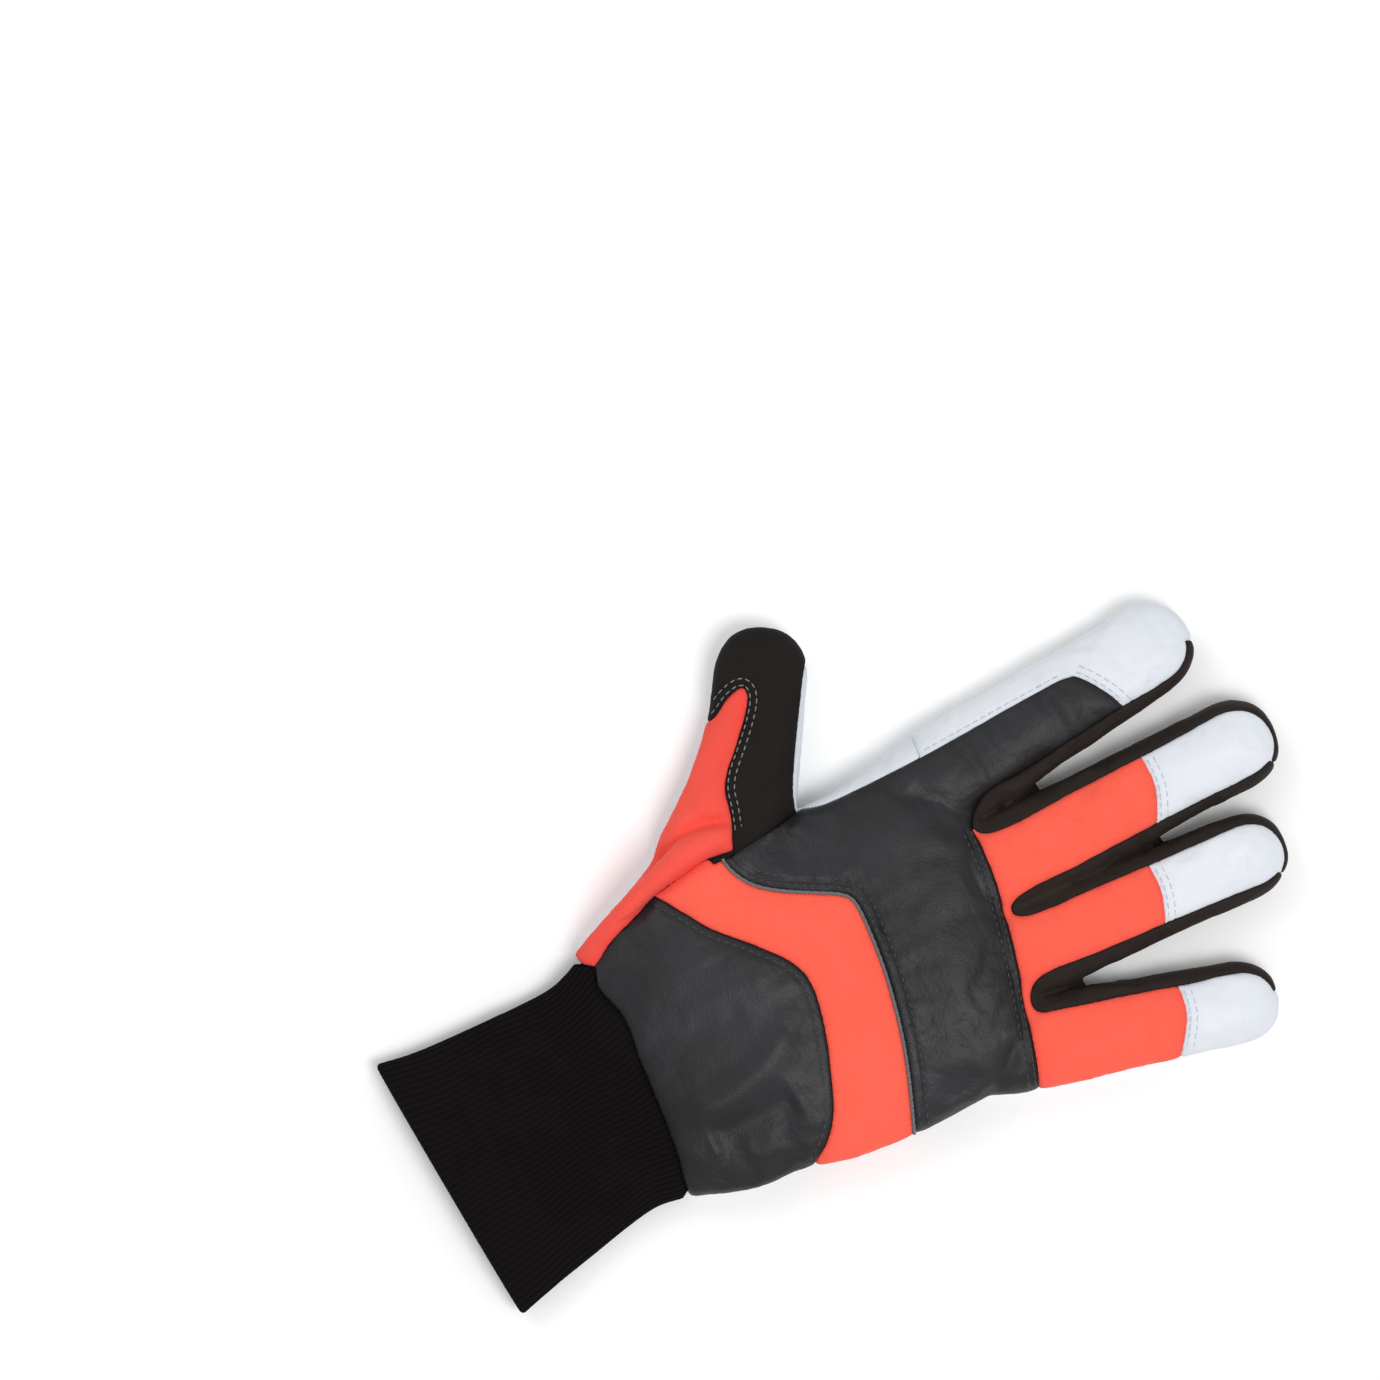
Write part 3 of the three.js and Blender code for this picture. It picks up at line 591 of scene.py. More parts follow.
def cutPanels(form):
    for slot in (skinMark, cutMark):
        form.data.materials.append(slot)
    panels = {}
    bpy.data.objects.remove(takeOff(form, "cuffStub", cutter([*wristSeam, *lowerCorners])))
    for name, outline in gussetZones.items():
        panels[name] = takeOff(form, name, cutter(outline))
    block = cutter([(-1, -1), (1, -1), (1, 1), (-1, 1)], -cutReach, skin["sideSeam"])
    for outline in (wrapZone, thumbEdgeZone):
        prism = cutter(outline)
        carve(block, prism, "UNION")
        bpy.data.objects.remove(prism)
    palmSide = takeOff(form, "palmSide", block)
    for name, outline in backZones.items():
        panels[name] = takeOff(form, name, cutter(outline))
    panels["knuckle_guard"] = form
    for name, outline in palmZones.items():
        panels[name] = takeOff(palmSide, name, cutter(outline))
    panels["palm_leather"] = palmSide
    return panels


borderTidy = {"merge": 0.0002, "flat": 0.00008, "straighten": 4, "even": 3}


# the skin alone is kept, its largest piece, with slivers along the cuts closed
def openPanel(obj):
    mesh = bmesh.new()
    mesh.from_mesh(obj.data)
    bmesh.ops.delete(mesh, geom=[f for f in mesh.faces if f.material_index == 1], context="FACES")
    bmesh.ops.remove_doubles(mesh, verts=mesh.verts, dist=borderTidy["merge"])
    bmesh.ops.dissolve_degenerate(mesh, edges=mesh.edges, dist=borderTidy["flat"])
    mesh.faces.ensure_lookup_table()
    seen, largest = set(), []
    for start in mesh.faces:
        if start in seen:
            continue
        group, todo = [], [start]
        seen.add(start)
        while todo:
            face = todo.pop()
            group.append(face)
            for edge in face.edges:
                for other in edge.link_faces:
                    if other not in seen:
                        seen.add(other)
                        todo.append(other)
        if len(group) > len(largest):
            largest = group
    kept = set(largest)
    bmesh.ops.delete(mesh, geom=[f for f in mesh.faces if f not in kept], context="FACES")
    bmesh.ops.delete(mesh, geom=[v for v in mesh.verts if not v.link_faces], context="VERTS")
    tidyBorder(mesh)
    mesh.to_mesh(obj.data)
    mesh.free()
    return obj


# the form's own smooth normals, for every panel
def surfaceNormals(co):
    out = np.zeros_like(co)
    for i, spot in enumerate(co):
        for _, n, d in formTree.find_n(spot, 3):
            out[i] += formOut[n] / (d + 0.0001)
    return unitRows(out)


# ragged borders are drawn straight along the cut, and the faces beside them evened out
def tidyBorder(mesh):
    for _ in range(borderTidy["straighten"]):
        moved = []
        for v in mesh.verts:
            if v.is_boundary:
                ends = [e.other_vert(v).co for e in v.link_edges if e.is_boundary]
                if len(ends) == 2 and (ends[0] - v.co).dot(ends[1] - v.co) < 0:
                    moved.append((v, v.co * 0.5 + (ends[0] + ends[1]) * 0.25))
        for v, co in moved:
            v.co = co
    near = {v for b in mesh.verts if b.is_boundary for f in b.link_faces for v in f.verts}
    near |= {v for b in list(near) for f in b.link_faces for v in f.verts}
    inner = [v for v in near if not v.is_boundary]
    for _ in range(borderTidy["even"]):
        bmesh.ops.smooth_vert(mesh, verts=inner, factor=0.5,
                              use_axis_x=True, use_axis_y=True, use_axis_z=True)


edgeStep = 0.0003


def distanceToEdge(obj):
    mesh = bmesh.new()
    mesh.from_mesh(obj.data)
    spots = []
    for edge in mesh.edges:
        if edge.is_boundary:
            a, b = edge.verts[0].co, edge.verts[1].co
            steps = max(int((b - a).length / edgeStep), 1)
            spots += [a.lerp(b, k / steps) for k in range(steps + 1)]
    mesh.free()
    tree = treeOf(spots)
    return np.array([tree.find(v.co)[2] for v in obj.data.vertices])


def planDistance(co, line):
    best = np.full(len(co), farAway)
    along = np.zeros(len(co))
    start = np.array(line[:-1])[:, :2]
    step = np.array(line[1:])[:, :2] - start
    for i in range(len(start)):
        t = np.clip(((co[:, :2] - start[i]) @ step[i]) / max(step[i] @ step[i], 1e-12), 0, 1)
        d = np.linalg.norm(co[:, :2] - (start[i] + t[:, None] * step[i]), axis=1)
        nearer = d < best
        best[nearer] = d[nearer]
        along[nearer] = (i + t[nearer]) / len(start)
    return best, along


def shifted(line, distance):
    p = np.array([tuple(q)[:2] for q in line])
    way = unitRows(np.gradient(p, axis=0))
    return p + np.stack([-way[:, 1], way[:, 0]], axis=1) * distance


# sewn channels of a panel: line, shift to its left, depth, half width
def capChannels(finger):
    return [(capSeam(finger), 0.0011, 0.00025, 0.0006), (capSeam(finger), 0.0031, 0.0003, 0.0007)]


channels = {
    "knuckle_guard": [(knuckleTop, -0.0024, 0.0006, 0.0007), (knuckleBottom, 0.0032, 0.0006, 0.0007)],
    "wrist_guard": [(wristGuardTop, -0.0022, 0.0003, 0.0006)],
    "fingertip_middle": capChannels(middleFinger),
    "fingertip_ring": capChannels(ringFinger),
    "fingertip_little": capChannels(littleFinger),
    "thumb_back": [(thumbPointSeam, -0.001, 0.0003, 0.0006), (thumbPointSeam, -0.0029, 0.0003, 0.0006)],
    "thumb_palm": [(thumbPalmSeam, 0.0011, 0.0003, 0.0006), (thumbPalmSeam, 0.003, 0.0003, 0.0007)],
    "palm_patch": [(patchTop, -0.0012, 0.0003, 0.0006), (patchTop, -0.0034, 0.0004, 0.0008),
                   *[(line, 0, 0.0009, 0.0013) for line in quilting]],
    "palm_leather": [(wrapSeam, 0.0012, 0.0003, 0.0006), (indexCapSeam, 0.0012, 0.0003, 0.0006),
                     (indexCapSeam, 0.0032, 0.0003, 0.0006)]}
palmNamed = ("palm_patch", "thumb_palm")


# panels: piece, slot, how far the edges roll in, over what width, how far the middle stands proud
panelColumns = ("piece", "slot", "roll", "band", "puff")
panelRows = {
    "palm_leather": ("palmLeather", "white_leather", 0.0007, 0.0022, 0.0),
    "palm_patch": ("palmPatch", "white_leather", 0.0005, 0.0022, 0.0),
    "thumb_palm": ("thumbPalm", "white_leather", 0.0008, 0.0024, 0.0),
    "fingertip_middle": ("middleTip", "white_leather", 0.0007, 0.002, 0.0),
    "fingertip_ring": ("ringTip", "white_leather", 0.0007, 0.002, 0.0),
    "fingertip_little": ("littleTip", "white_leather", 0.0007, 0.002, 0.0),
    "knuckle_guard": ("knuckleGuard", "dark_leather", 0.0009, 0.003, 0.0004),
    "wrist_guard": ("wristGuard", "dark_leather", 0.0009, 0.003, 0.0004),
    "finger_cloth": ("fingerCloth", "orange_cloth", 0.0007, 0.0022, 0.0),
    "back_cloth": ("backCloth", "orange_cloth", 0.0007, 0.0022, 0.0),
    "thumb_cloth": ("thumbCloth", "orange_cloth", 0.0007, 0.0022, 0.0),
    "thumb_back": ("thumbBack", "thumb_suede", 0.0007, 0.0022, 0.0),
    "gusset_index_middle": ("gussetIndexMiddle", "gusset_cloth", 0.0006, 0.0016, 0.0002),
    "gusset_middle_ring": ("gussetMiddleRing", "gusset_cloth", 0.0006, 0.0016, 0.0002),
    "gusset_ring_little": ("gussetRingLittle", "gusset_cloth", 0.0006, 0.0016, 0.0002)}
panelLooks = {node: dict(zip(panelColumns, row)) for node, row in panelRows.items()}
panelWall = 0.0011
puffReach = 0.005
pucker = {"height": 0.00022, "wave": 0.0024, "seed": 4.4, "start": 0.0015, "reach": 0.003}
seamShadeReach = 0.0022  # how far from its edges a panel's colour darkens: painted shade along the seams
floorGap = 0.0001
seamRuns = {}


def shapePanel(name, obj):
    look = panelLooks[name]
    openPanel(obj)
    obj.name = obj.data.name = look["piece"]
    away = distanceToEdge(obj)
    if name == "knuckle_guard":
        seamRuns[name] = borderRun(obj, knuckleBottom, 0.0004)
    co = points(obj)
    out = surfaceNormals(co)
    edge = 1 - np.sqrt(np.clip(1 - (1 - np.clip(away / look["band"], 0, 1)) ** 2, 0, 1))
    small = ripple(co, pucker["wave"], pucker["seed"]) * np.exp(-away / pucker["reach"])
    move = look["puff"] * smoothStep(away / puffReach) - look["roll"] * edge
    move += small * smoothStep(away / pucker["start"]) * pucker["height"]
    facing = smoothStep(out[:, 2] * (-3 if name in palmNamed else 3))
    for line, shift, depth, width in channels.get(name, []):
        d = planDistance(co, shifted(line, shift))[0]
        move -= depth * np.exp(-(d / width) ** 2) * facing
    outer = keptAbove(co + out * move[:, None], floorGap)
    place(obj, outer)
    # nearness to the panel's edges, for the painted shade that darkens the colour along the seams
    near = obj.data.attributes.new("seamNear", "FLOAT", "POINT")
    near.data.foreach_set("value", np.exp(-away / seamShadeReach).astype(np.float32))
    # the wall: the skin is extruded and the new skin stands outside
    editAll(obj)
    bpy.ops.mesh.extrude_region()
    bpy.ops.object.mode_set(mode="OBJECT")
    place(obj, np.vstack([keptAbove(outer - out * panelWall, floorGap), outer]))
    editAll(obj)
    faceOut()
    bpy.ops.object.shade_smooth_by_angle(angle=math.radians(50))
    return obj


# every row of stitches: line, shift to its left, panel
def rowsBeside(line, shifts, panel):
    return [(line, shift, panel) for shift in shifts]


sewing = {
    "whiteStitching": {
        "slot": "white_leather", "thickness": 0.00023, "pitch": 0.0027, "length": 0.0021, "rows": [
            *rowsBeside(capSeam(middleFinger), (0.0011, 0.0031), "fingertip_middle"),
            *rowsBeside(capSeam(ringFinger), (0.0011, 0.0031), "fingertip_ring"),
            *rowsBeside(capSeam(littleFinger), (0.0011, 0.0031), "fingertip_little"),
            *rowsBeside(indexCapSeam, (0.0012, 0.0032), "palm_leather"),
            *rowsBeside(wrapSeam, (0.0012,), "palm_leather"),
            *rowsBeside(thumbPalmSeam, (0.0011, 0.003), "thumb_palm"),
            *rowsBeside(patchTop, (-0.0012, -0.0034), "palm_patch"),
            *[(line, 0, "palm_patch") for line in quilting]]},
    "greyStitching": {
        "slot": "grey_piping", "thickness": 0.00024, "pitch": 0.0024, "length": 0.0019, "rows": [
            *rowsBeside(thumbPointSeam, (-0.001, -0.0029), "thumb_back")]},
    "darkStitching": {
        "slot": "dark_leather", "thickness": 0.00024, "pitch": 0.0026, "length": 0.002, "rows": [
            *rowsBeside(knuckleTop, (-0.0012, -0.0034), "knuckle_guard"),
            *rowsBeside(knuckleBottom, (0.0020, 0.0044), "knuckle_guard"),
            *rowsBeside(wristGuardTop, (-0.0022,), "wrist_guard")]}}
threadForm = {"flatness": 0.8, "sunk": 0.25, "steepest": 0.25}


def stitch(name, look, trees):
    deselect()
    bpy.ops.mesh.primitive_uv_sphere_add(segments=6, ring_count=4, radius=1)
    thread = added(name)
    place(thread, points(thread) * np.array([1.0, 1.0, threadForm["flatness"]]))
    copies = []
    radius = look["thickness"]
    for line, shift, panel in look["rows"]:
        side = -1 if panel in palmNamed else 1
        spots = evenLine(shifted(line, shift), look["pitch"])
        for a, b in zip(spots[:-1], spots[1:]):
            half = look["length"] / max(np.linalg.norm(b - a), tiny) / 2
            (start, startUp, *_), (end, endUp, *_) = [
                trees[panel].ray_cast(Vector((*(a + (b - a) * t), cutReach * side)), Vector((0, 0, -side)))
                for t in (0.5 - half, 0.5 + half)]
            if start is None or end is None or (end - start).length > 2 * look["length"]:
                continue
            up = (startUp + endUp).normalized()
            if up.z * side < threadForm["steepest"]:
                continue
            across = up.cross(end - start).normalized()
            matrix = Matrix(((end - start) / 2, across * radius, up * radius)).transposed().to_4x4()
            matrix.translation = (start + end) / 2 + up * radius * threadForm["sunk"]
            copy = duplicate(thread, name)
            copy.matrix_world = matrix
            copies.append(copy)
    bpy.data.objects.remove(thread)
    seam = joined(copies, name)
    bpy.ops.object.transform_apply(location=True, rotation=True, scale=True)
    bpy.ops.object.shade_smooth()
    seam.data.materials.append(threadFinishes[name])
    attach(seam, "root")
    return len(copies)


# the skin's border along a seam line, in order, with its run down the side of the hand
def borderRun(obj, line, reach):
    mesh = bmesh.new()
    mesh.from_mesh(obj.data)
    mesh.verts.ensure_lookup_table()
    d = planDistance(np.array([v.co for v in mesh.verts]), line)[0]
    left = {v.index for v in mesh.verts if v.is_boundary and d[v.index] < reach}
    best = []
    while left:
        chain = [left.pop()]
        for end in (0, -1):
            while True:
                v = mesh.verts[chain[end]]
                step = [e.other_vert(v).index for e in v.link_edges
                        if e.is_boundary and e.other_vert(v).index in left]
                if not step:
                    break
                left.discard(step[0])
                chain = [step[0]] + chain if end == 0 else chain + [step[0]]
        if len(chain) > len(best):
            best = chain
    run = np.array([mesh.verts[i].co for i in best])
    mesh.free()
    return run if run[0, 0] < run[-1, 0] else run[::-1]


# a grid rolled up into a tube: rows of points, each row closed on itself
def rolledGrid(name, rows):
    count, around = rows.shape[0], rows.shape[1] - 1
    deselect()
    bpy.ops.mesh.primitive_grid_add(x_subdivisions=around, y_subdivisions=count - 1)
    tube = added(name)
    unit = points(tube)
    column = np.rint((unit[:, 0] + 1) / 2 * around).astype(int)
    line = np.rint((unit[:, 1] + 1) / 2 * (count - 1)).astype(int)
    place(tube, rows[line, column])
    corner = np.zeros(len(tube.data.loops), int)
    tube.data.loops.foreach_get("vertex_index", corner)
    layer = tube.data.uv_layers[0]
    layer.name = "rows"
    uv = np.stack([column[corner], line[corner]], axis=1)
    layer.data.foreach_set("uv", uv.astype(np.float32).ravel())
    editAll(tube)
    bpy.ops.mesh.remove_doubles(threshold=0.00001)
    bpy.ops.mesh.fill_holes(sides=0)
    faceOut()
    bpy.ops.object.shade_smooth()
    return tube


pipingLook = {"radius": 0.00048, "sides": 8, "step": 0.0006, "smoothing": 12, "twist": 0.0001,
              "rise": 0.00005}


def knucklePiping(run):
    path = evenLine(run, pipingLook["step"])
    for _ in range(pipingLook["smoothing"]):
        path[1:-1] = (path[:-2] + 2 * path[1:-1] + path[2:]) / 4
    out = surfaceNormals(path)
    path = path + out * pipingLook["rise"]
    way = unitRows(np.gradient(path, axis=0))
    across = unitRows(np.cross(way, out))
    up = np.cross(across, way)
    turn = np.linspace(0, 2 * math.pi, pipingLook["sides"] + 1)
    radius = pipingLook["radius"] + pipingLook["twist"] * (np.arange(len(path)) % 4 < 2)
    rows = (path[:, None] + (across[:, None] * np.cos(turn)[None, :, None]
                             + up[:, None] * np.sin(turn)[None, :, None]) * radius[:, None, None])
    rows[:, :, 2] = np.maximum(rows[:, :, 2], floorGap)
    piping = rolledGrid("knucklePiping", rows)
    piping.data.materials.append(threadFinishes["knucklePiping"])
    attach(piping, "root")
    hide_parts("knuckle_piping")


# inner layer that closes the view between two sewn edges; its dark colour is painted shade in the gaps
liningLook = {"voxel": 0.0017, "inset": 0.0016, "low": 0.0012, "wall": 0.0004, "pastSeam": 0.004}


def lining(form):
    inner = duplicate(form, "lining")
    inner.data.name = "lining"
    for mark in (skinMark, cutMark):
        inner.data.materials.append(mark)
    applied(inner, "REMESH", mode="VOXEL", voxel_size=liningLook["voxel"])
    co = points(inner) - normals(inner) * liningLook["inset"]
    place(inner, keptAbove(co, liningLook["low"]))
    prism = cutter([*shifted(wristSeam, liningLook["pastSeam"]), *lowerCorners])
    carve(inner, prism, "DIFFERENCE")
    bpy.data.objects.remove(prism)
    openPanel(inner)
    applied(inner, "SOLIDIFY", thickness=liningLook["wall"], offset=-1)
    pick(inner)
    bpy.ops.object.shade_smooth()
    inner.data.materials.clear()
    inner.data.materials.append(threadFinishes["lining"])
    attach(inner, "root")


# materials: a small wrapper turns Python expressions into Math nodes
class Value:
    def __init__(self, tree, socket):
        self.tree = tree
        self.socket = socket

    def calculate(self, operation, other=None, swap=False):
        sides = [self, other] if not swap else [other, self]
        return self.tree.put("ShaderNodeMath", {"operation": operation},
                             {i: side for i, side in enumerate(sides) if side is not None})

    def __add__(self, other): return self.calculate("ADD", other)
    def __radd__(self, other): return self.calculate("ADD", other, True)
    def __sub__(self, other): return self.calculate("SUBTRACT", other)
    def __rsub__(self, other): return self.calculate("SUBTRACT", other, True)
    def __mul__(self, other): return self.calculate("MULTIPLY", other)
    def __rmul__(self, other): return self.calculate("MULTIPLY", other, True)
    def __pow__(self, other): return self.calculate("POWER", other)


class Finish:
    def __init__(self, name):
        self.material = bpy.data.materials.new(name)
        self.material.use_nodes = True
        self.nodes = self.material.node_tree.nodes
        self.links = self.material.node_tree.links
        self.shader = self.nodes["Principled BSDF"]

    def put(self, kind, settings=None, inputs=None, output=0):
        node = self.nodes.new(kind)
        for key, value in (settings or {}).items():
            if key == "stops":
                ramp = node.color_ramp.elements
                while len(ramp) < len(value):
                    ramp.new(0.5)
                for element, (position, colour) in zip(ramp, value):
                    element.position, element.color = position, (*colour, 1)
            else:
                setattr(node, key, value)
        for key, value in (inputs or {}).items():
            if isinstance(value, Value):
                self.links.new(value.socket, node.inputs[key])
            else:
                node.inputs[key].default_value = value
        return Value(self, node.outputs[output])

    def feed(self, key, value):
        if isinstance(value, Value):
            self.links.new(value.socket, self.shader.inputs[key])
        else:
            self.shader.inputs[key].default_value = value

    def coordinates(self, turn=0.0, stretch=(1, 1, 1)):
        where = self.put("ShaderNodeTexCoord", output="Object")
        return self.put("ShaderNodeMapping", {}, {"Vector": where, "Rotation": (0, 0, math.radians(turn)),
                                                  "Scale": stretch})

    def noise(self, where, scale, detail=3.0, roughness=0.5):
        return self.put("ShaderNodeTexNoise", {}, {"Vector": where, "Scale": scale, "Detail": detail,
                                                   "Roughness": roughness})

    def blend(self, amount, first, second):
        return self.put("ShaderNodeMix", {"data_type": "RGBA"}, {0: amount, 6: first, 7: second}, output=2)

    def bump(self, height):
        return self.put("ShaderNodeBump", {}, {"Height": height, "Strength": 1.0, "Distance": 0.001})

    # nearness to the panel's edges, which darkens the colour as painted shade along the seams
    def seam(self):
        return self.put("ShaderNodeAttribute", {"attribute_name": "seamNear"}, output="Fac")

    def parts(self, vector):
        node = self.nodes.new("ShaderNodeSeparateXYZ")
        self.links.new(vector.socket, node.inputs[0])
        return [Value(self, node.outputs[i]) for i in range(3)]

    def curve(self, operation, value, *others):
        return self.put("ShaderNodeMath", {"operation": operation}, dict(enumerate([value, *others])))


# linear colour from screen values of 0 to 255
def colour(*screen):
    shares = [c / 255 for c in screen]
    return (*[c / 12.92 if c <= 0.04045 else ((c + 0.055) / 1.055) ** 2.4 for c in shares], 1)


# leathers: two tones, painted shade along the seams, gloss, and heights of grain, creases and pores
leathers = {
    "white_leather": {"name": "whiteLeather", "light": (226, 229, 233), "dark": (208, 213, 222), "seam": 0.5,
                      "rough": 0.52, "gloss": 0.3, "grain": 0.035, "crease": 0.1, "pore": 0.02},
    "dark_leather": {"name": "darkLeather", "light": (45, 46, 49), "dark": (11, 11, 14), "seam": 0.45,
                     "rough": 0.5, "gloss": 0.34, "grain": 0.05, "crease": 0.16, "pore": 0.03}}


def leatherFinish(look):
    f = Finish(look["name"])
    where = f.coordinates()
    cells = f.put("ShaderNodeTexVoronoi", {"feature": "SMOOTH_F1"},
                  {"Vector": where, "Scale": 1300.0, "Smoothness": 0.5})
    pores = f.noise(where, 3200.0, 2.0)
    mottle = f.noise(where, 48.0, 5.0, 0.62)
    # broad patches of lighter and darker colour: random tone that also paints soft sheen on the leather
    patches = f.noise(where, 16.0, 2.0)
    creases = f.noise(f.coordinates(20, (1, 2.6, 1)), 130.0, 6.0, 0.66)
    lines = f.put("ShaderNodeTexVoronoi", {"feature": "DISTANCE_TO_EDGE"},
                  {"Vector": f.coordinates(-15, (1, 1.7, 1)), "Scale": 560.0})
    fine = f.curve("MINIMUM", lines * 5.0, 1.0)
    # the seam term paints shade along the panel's edges
    tone = (mottle - 0.5) * 0.9 + (patches - 0.5) * 1.3 + 0.5 + f.seam() * look["seam"]
    f.feed("Base Color", f.blend(tone, colour(*look["light"]), colour(*look["dark"])))
    f.feed("Roughness", look["rough"] + (mottle - 0.5) * 0.25)
    f.feed("Specular IOR Level", look["gloss"])
    f.feed("Normal", f.bump((cells + fine * 0.45) * look["grain"] + creases * look["crease"]
                            + pores * look["pore"]))
    return f.material


# cloths: a twill line on the slant, crossing threads, fuzz and slight fading
# seam: how strongly the colour darkens along the panel's edges, painted shade
cloths = {
    # the thumb cloth is a darker copy of the orange cloth: painted shade on the thumb's side, which slopes
    # away from the light
    "thumb_cloth": {
        "name": "orangeThumbClothShaded", "light": (247, 92, 78), "dark": (230, 70, 62), "seam": 0.6,
        "pitch": 0.0007, "slant": -15, "twill": 0.085, "rough": 0.85, "sheen": 0.05, "gloss": 0.12},
    "orange_cloth": {
        "name": "orangeCloth", "light": (252, 104, 84), "dark": (240, 86, 70), "seam": 0.55,
        "pitch": 0.0007, "slant": 38, "twill": 0.075, "rough": 0.85, "sheen": 0.05, "gloss": 0.12},
    "gusset_cloth": {
        "name": "gussetCloth", "light": (50, 41, 37), "dark": (33, 27, 24), "seam": 0.6,
        "pitch": 0.0006, "slant": 20, "twill": 0.06, "rough": 0.75, "sheen": 0.0, "gloss": 0.15},
    "thumb_suede": {
        "name": "thumbSuede", "light": (36, 33, 31), "dark": (24, 21, 20), "seam": 0.5,
        "pitch": 0.0005, "slant": 60, "twill": 0.045, "rough": 0.9, "sheen": 0.0, "gloss": 0.1}}


def clothFinish(look):
    f = Finish(look["name"])
    wave = {"Scale": 0.314 / look["pitch"], "Distortion": 0.7, "Detail": 1.5, "Detail Scale": 2.0}
    twill = f.put("ShaderNodeTexWave", {"bands_direction": "X"},
                  {"Vector": f.coordinates(look["slant"]), **wave}, output="Fac")
    weft = f.put("ShaderNodeTexWave", {"bands_direction": "Y"},
                 {"Vector": f.coordinates(look["slant"] - 30), **wave}, output="Fac")
    fuzz = f.noise(f.coordinates(), 1800.0, 3.0)
    mottle = f.noise(f.coordinates(), 60.0, 4.0, 0.6)
    patches = f.noise(f.coordinates(), 14.0, 2.0)
    threads = twill * 0.7 + weft * 0.3
    # the seam term paints shade along the panel's edges
    tone = 0.35 - threads * 0.4 + mottle * 0.4 + (patches - 0.5) * 0.5 + f.seam() * look["seam"]
    tone = f.curve("MAXIMUM", tone, 0.0)
    f.feed("Base Color", f.blend(tone, colour(*look["light"]), colour(*look["dark"])))
    f.feed("Roughness", look["rough"] - threads * 0.1)
    f.feed("Specular IOR Level", look["gloss"])
    f.feed("Sheen Weight", look["sheen"])
    f.feed("Normal", f.bump(threads * look["twill"] + fuzz * look["twill"] * 0.8 + mottle * 0.1))
    return f.material


# threads: fine twist lines over one tone
def threadFinish(name, light, dark, gloss=0.2):
    f = Finish(name)
    twist = f.put("ShaderNodeTexWave", {"bands_direction": "DIAGONAL"},
                  {"Vector": f.coordinates(25), "Scale": 700.0, "Distortion": 0.5}, output="Fac")
    fuzz = f.noise(f.coordinates(), 2500.0, 2.0)
    f.feed("Base Color", f.blend(twist * 0.6 + fuzz * 0.4, colour(*light), colour(*dark)))
    f.feed("Roughness", 0.7)
    f.feed("Specular IOR Level", gloss)
    f.feed("Normal", f.bump(twist * 0.06 + fuzz * 0.04))
    return f.material


finishes = {**{key: leatherFinish(look) for key, look in leathers.items()},
            **{key: clothFinish(look) for key, look in cloths.items()}}
threadFinishes = {
    # the white thread is greyed and blued: painted shade of its stitch holes
    "whiteStitching": threadFinish("whiteThreadShaded", (206, 212, 222), (176, 184, 198)),
    "greyStitching": threadFinish("greyThread", (150, 150, 150), (96, 96, 96)),
    "darkStitching": threadFinish("darkThread", (88, 89, 92), (44, 44, 47)),
    "knucklePiping": threadFinish("pipingCord", (128, 129, 131), (70, 70, 72)),
    # the lining is near black: painted shade where it shows between the panels
    "lining": threadFinish("liningClothShade", (34, 31, 30), (20, 18, 18), 0.05)}


def knitFinish():
    f = Finish("blackKnit")
    across, along, _ = f.parts(f.put("ShaderNodeUVMap", {"uv_map": "rows"}))
    rib = f.curve("ABSOLUTE", f.curve("FRACT", across * (1 / cuffLook["perRib"])) - 0.5)
    loops = f.curve("SINE", along * cuffLook["loops"] + rib * 7.0) * 0.5 + 0.5
    fuzz = f.noise(f.coordinates(), 2200.0, 3.0)
    mottle = f.noise(f.coordinates(), 70.0, 3.0)
    tone = loops * 0.35 + fuzz * 0.3 + mottle * 0.35
    f.feed("Base Color", f.blend(tone, colour(*cuffLook["light"]), colour(*cuffLook["dark"])))
    f.feed("Roughness", 0.95 - loops * 0.1)
    f.feed("Specular IOR Level", 0.08)
    f.feed("Normal", f.bump(loops * 0.16 + fuzz * 0.16))
    return f.material


# knitted cuff: a folded tube of ribs, from under the leather round the mouth to the inside
cuffLook = {"light": (27, 22, 24), "dark": (9, 7, 8), "ribs": 92, "perRib": 6, "ribRise": 0.0008,
            "wall": 0.0026, "row": 0.00145, "loops": 7.5,
            "innerRibs": 0.6, "inside": 0.8, "lipSteps": 8, "sectionSteps": 720, "sway": 0.0007,
            "dents": 0.0007, "dentWave": 0.016, "tuck": 0.0021, "tuckStart": 0.0024, "tuckReach": 0.0034}


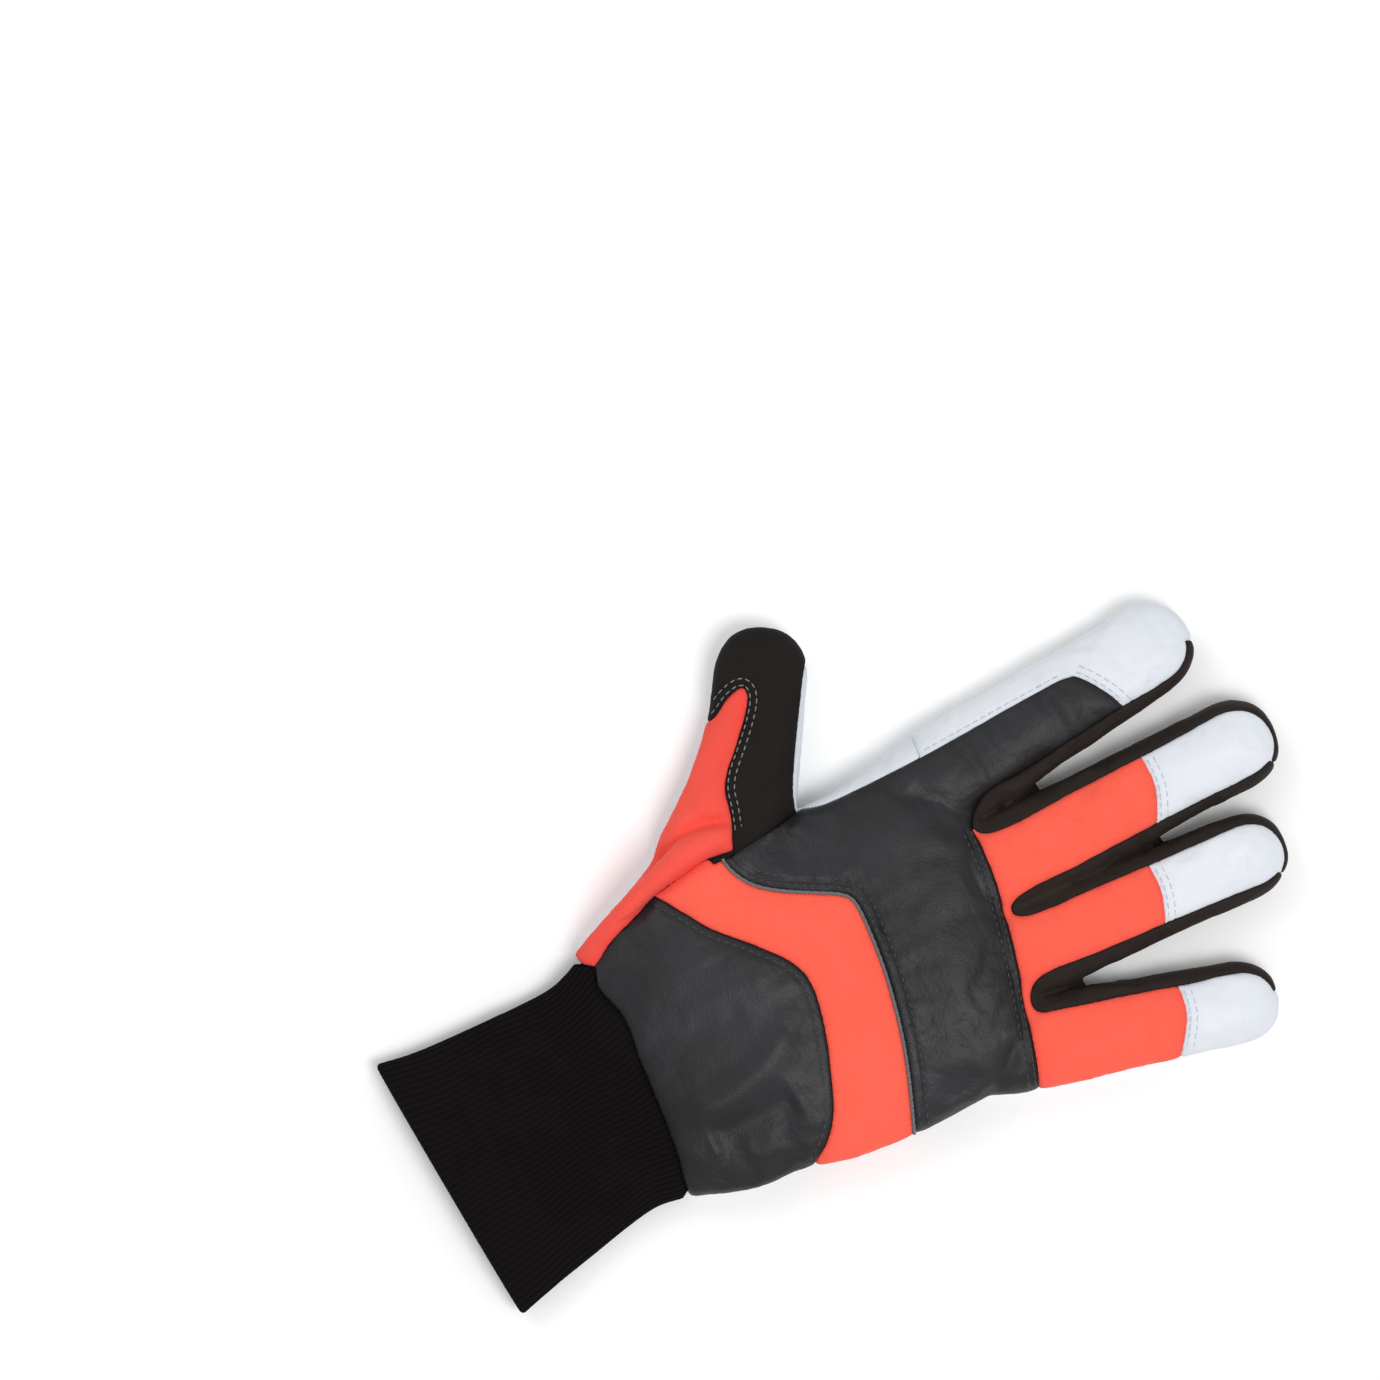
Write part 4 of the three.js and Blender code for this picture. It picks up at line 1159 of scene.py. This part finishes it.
def knittedCuff():
    spine = evenLine(smoothLine(trunkRows(2), 10), cuffLook["row"])
    around = cuffLook["ribs"] * cuffLook["perRib"]
    lip = cuffLook["wall"] / 2
    # each ring: its row, how far it stands out of the form, and how far past the mouth
    rings = [(row, 0.0, 0.0) for row in spine[::-1]]
    for step in range(1, cuffLook["lipSteps"]):
        angle = math.pi * step / cuffLook["lipSteps"]
        rings.append((spine[0], -lip * (1 - math.cos(angle)), lip * math.sin(angle)))
    rings += [(row, -2 * lip, 0.0) for row in spine[: int(len(spine) * cuffLook["inside"])]]
    fine = np.linspace(-math.pi / 2, 1.5 * math.pi, cuffLook["sectionSteps"] + 1)
    placed = np.zeros((len(rings), around + 1, 3))
    ribs = np.arange(around + 1)
    for r, (row, grow, beyond) in enumerate(rings):
        left, right, tall = Vector(row[:2]), Vector(row[2:4]), row[4]
        across = (right - left).normalized()
        out = Vector((across.y, -across.x))
        ring = keptAbove(np.array([sectionPoint(left, right, tall, skin["handRound"], a) for a in fine]), 0.0)
        lengths = np.concatenate([[0], np.cumsum(np.linalg.norm(np.diff(ring, axis=0), axis=1))])
        at = np.linspace(0, lengths[-1], around + 1)
        sway = cuffLook["sway"] * np.sin(ribs / around * 6 * math.pi + r * 0.09) * math.sin(r * 0.11)
        at = np.mod(at + sway, lengths[-1])
        ring = np.stack([np.interp(at, lengths, ring[:, k]) for k in range(3)], axis=1)
        tangent = np.roll(ring[:-1], -1, axis=0) - np.roll(ring[:-1], 1, axis=0)
        tangent = np.vstack([tangent, tangent[:1]])
        side = tangent[:, :2] @ np.array([across.x, across.y])
        outward = unitRows(np.stack([tangent[:, 2] * across.x, tangent[:, 2] * across.y, -side], axis=1))
        rib = cuffLook["ribRise"] * (np.abs(np.cos(ribs / cuffLook["perRib"] * math.pi)) ** 0.7 - 1)
        if grow < -lip:
            rib = -rib * cuffLook["innerRibs"]
        seamY = np.interp(ring[:, 0], wristSeam[:, 0], wristSeam[:, 1])
        past = (ring[:, 1] - seamY + cuffLook["tuckStart"]) / cuffLook["tuckReach"]
        dent = cuffLook["dents"] * ripple(ring, cuffLook["dentWave"], 6.1) * (outward[:, 2] > 0.1)
        rise = grow + rib - cuffLook["tuck"] * smoothStep(past) + dent * (grow == 0)
        placed[r] = ring + outward * rise[:, None] + np.array([out.x, out.y, 0.0]) * beyond
    placed[:, :, 2] = np.maximum(placed[:, :, 2], floorGap)
    placed[:, -1] = placed[:, 0]
    tube = rolledGrid("knittedCuff", placed)
    tube.data.materials.append(knitFinish())
    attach(tube, "root")
    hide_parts("knit_cuff")


form = gloveForm()
print("form", len(form.data.vertices))
swell(form)
print("swollen")
foldForm(form)
formOut = normals(form)
formTree = treeOf(points(form))
lining(form)
print("lining made")
panels = cutPanels(form)
print("panels cut")
panelTrees = {}
for name, obj in panels.items():
    shapePanel(name, obj)
    panelTrees[name] = BVHTree.FromPolygons([v.co for v in obj.data.vertices],
                                            [p.vertices for p in obj.data.polygons])
    obj.data.materials.clear()
    # the thumb cloth takes its own darker finish, painted shade
    obj.data.materials.append(finishes.get(name) or finishes[panelLooks[name]["slot"]])
    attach(obj, "root")
    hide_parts(name)
print("panels shaped")
knucklePiping(seamRuns["knuckle_guard"])
for name, look in sewing.items():
    print(name, stitch(name, look, panelTrees))
knittedCuff()
print("cuff knitted")

# camera straight above, turned as the photograph is
view = {"centre": (-0.0963, 0.0182), "turn": 62, "width": 0.414, "height": 2.4, "glovePlane": 0.012}
cameraData = bpy.data.cameras.new("camera")
camera = bpy.data.objects.new("camera", cameraData)
scene.collection.objects.link(camera)
camera.location = (*view["centre"], view["height"])
camera.rotation_euler = (0, 0, math.radians(view["turn"]))
cameraData.sensor_width = 36
cameraData.lens = 36 * (view["height"] - view["glovePlane"]) / view["width"]
cameraData.clip_end = 10
scene.camera = camera

# pale floor and soft studio light
studio = {"floor": 0.98, "world": 0.6, "key": 17, "keyPlace": (0.6, 0.3, 1.75), "keySize": 0.8,
          "fill": 5, "fillPlace": (-1.3, -0.3, 1.2), "fillSize": 0.9}
deselect()
bpy.ops.mesh.primitive_plane_add(size=6)
floor = added("floor")
floorFinish = Finish("floorFinish")
floorFinish.feed("Base Color", (studio["floor"],) * 3 + (1,))
floorFinish.feed("Roughness", 0.9)
floor.data.materials.append(floorFinish.material)


def softLight(name, spot, size, power):
    data = bpy.data.lights.new(name, "AREA")
    data.size, data.energy = size, power
    light = bpy.data.objects.new(name, data)
    light.location = spot
    light.rotation_euler = (-Vector(spot)).to_track_quat("-Z", "Y").to_euler()
    scene.collection.objects.link(light)


softLight("keyLight", studio["keyPlace"], studio["keySize"], studio["key"])
softLight("fillLight", studio["fillPlace"], studio["fillSize"], studio["fill"])
world = bpy.data.worlds.new("world")
scene.world = world
world.use_nodes = True
world.node_tree.nodes["Background"].inputs[0].default_value = (1, 1, 1, 1)
world.node_tree.nodes["Background"].inputs[1].default_value = studio["world"]
scene.view_settings.view_transform = "Standard"
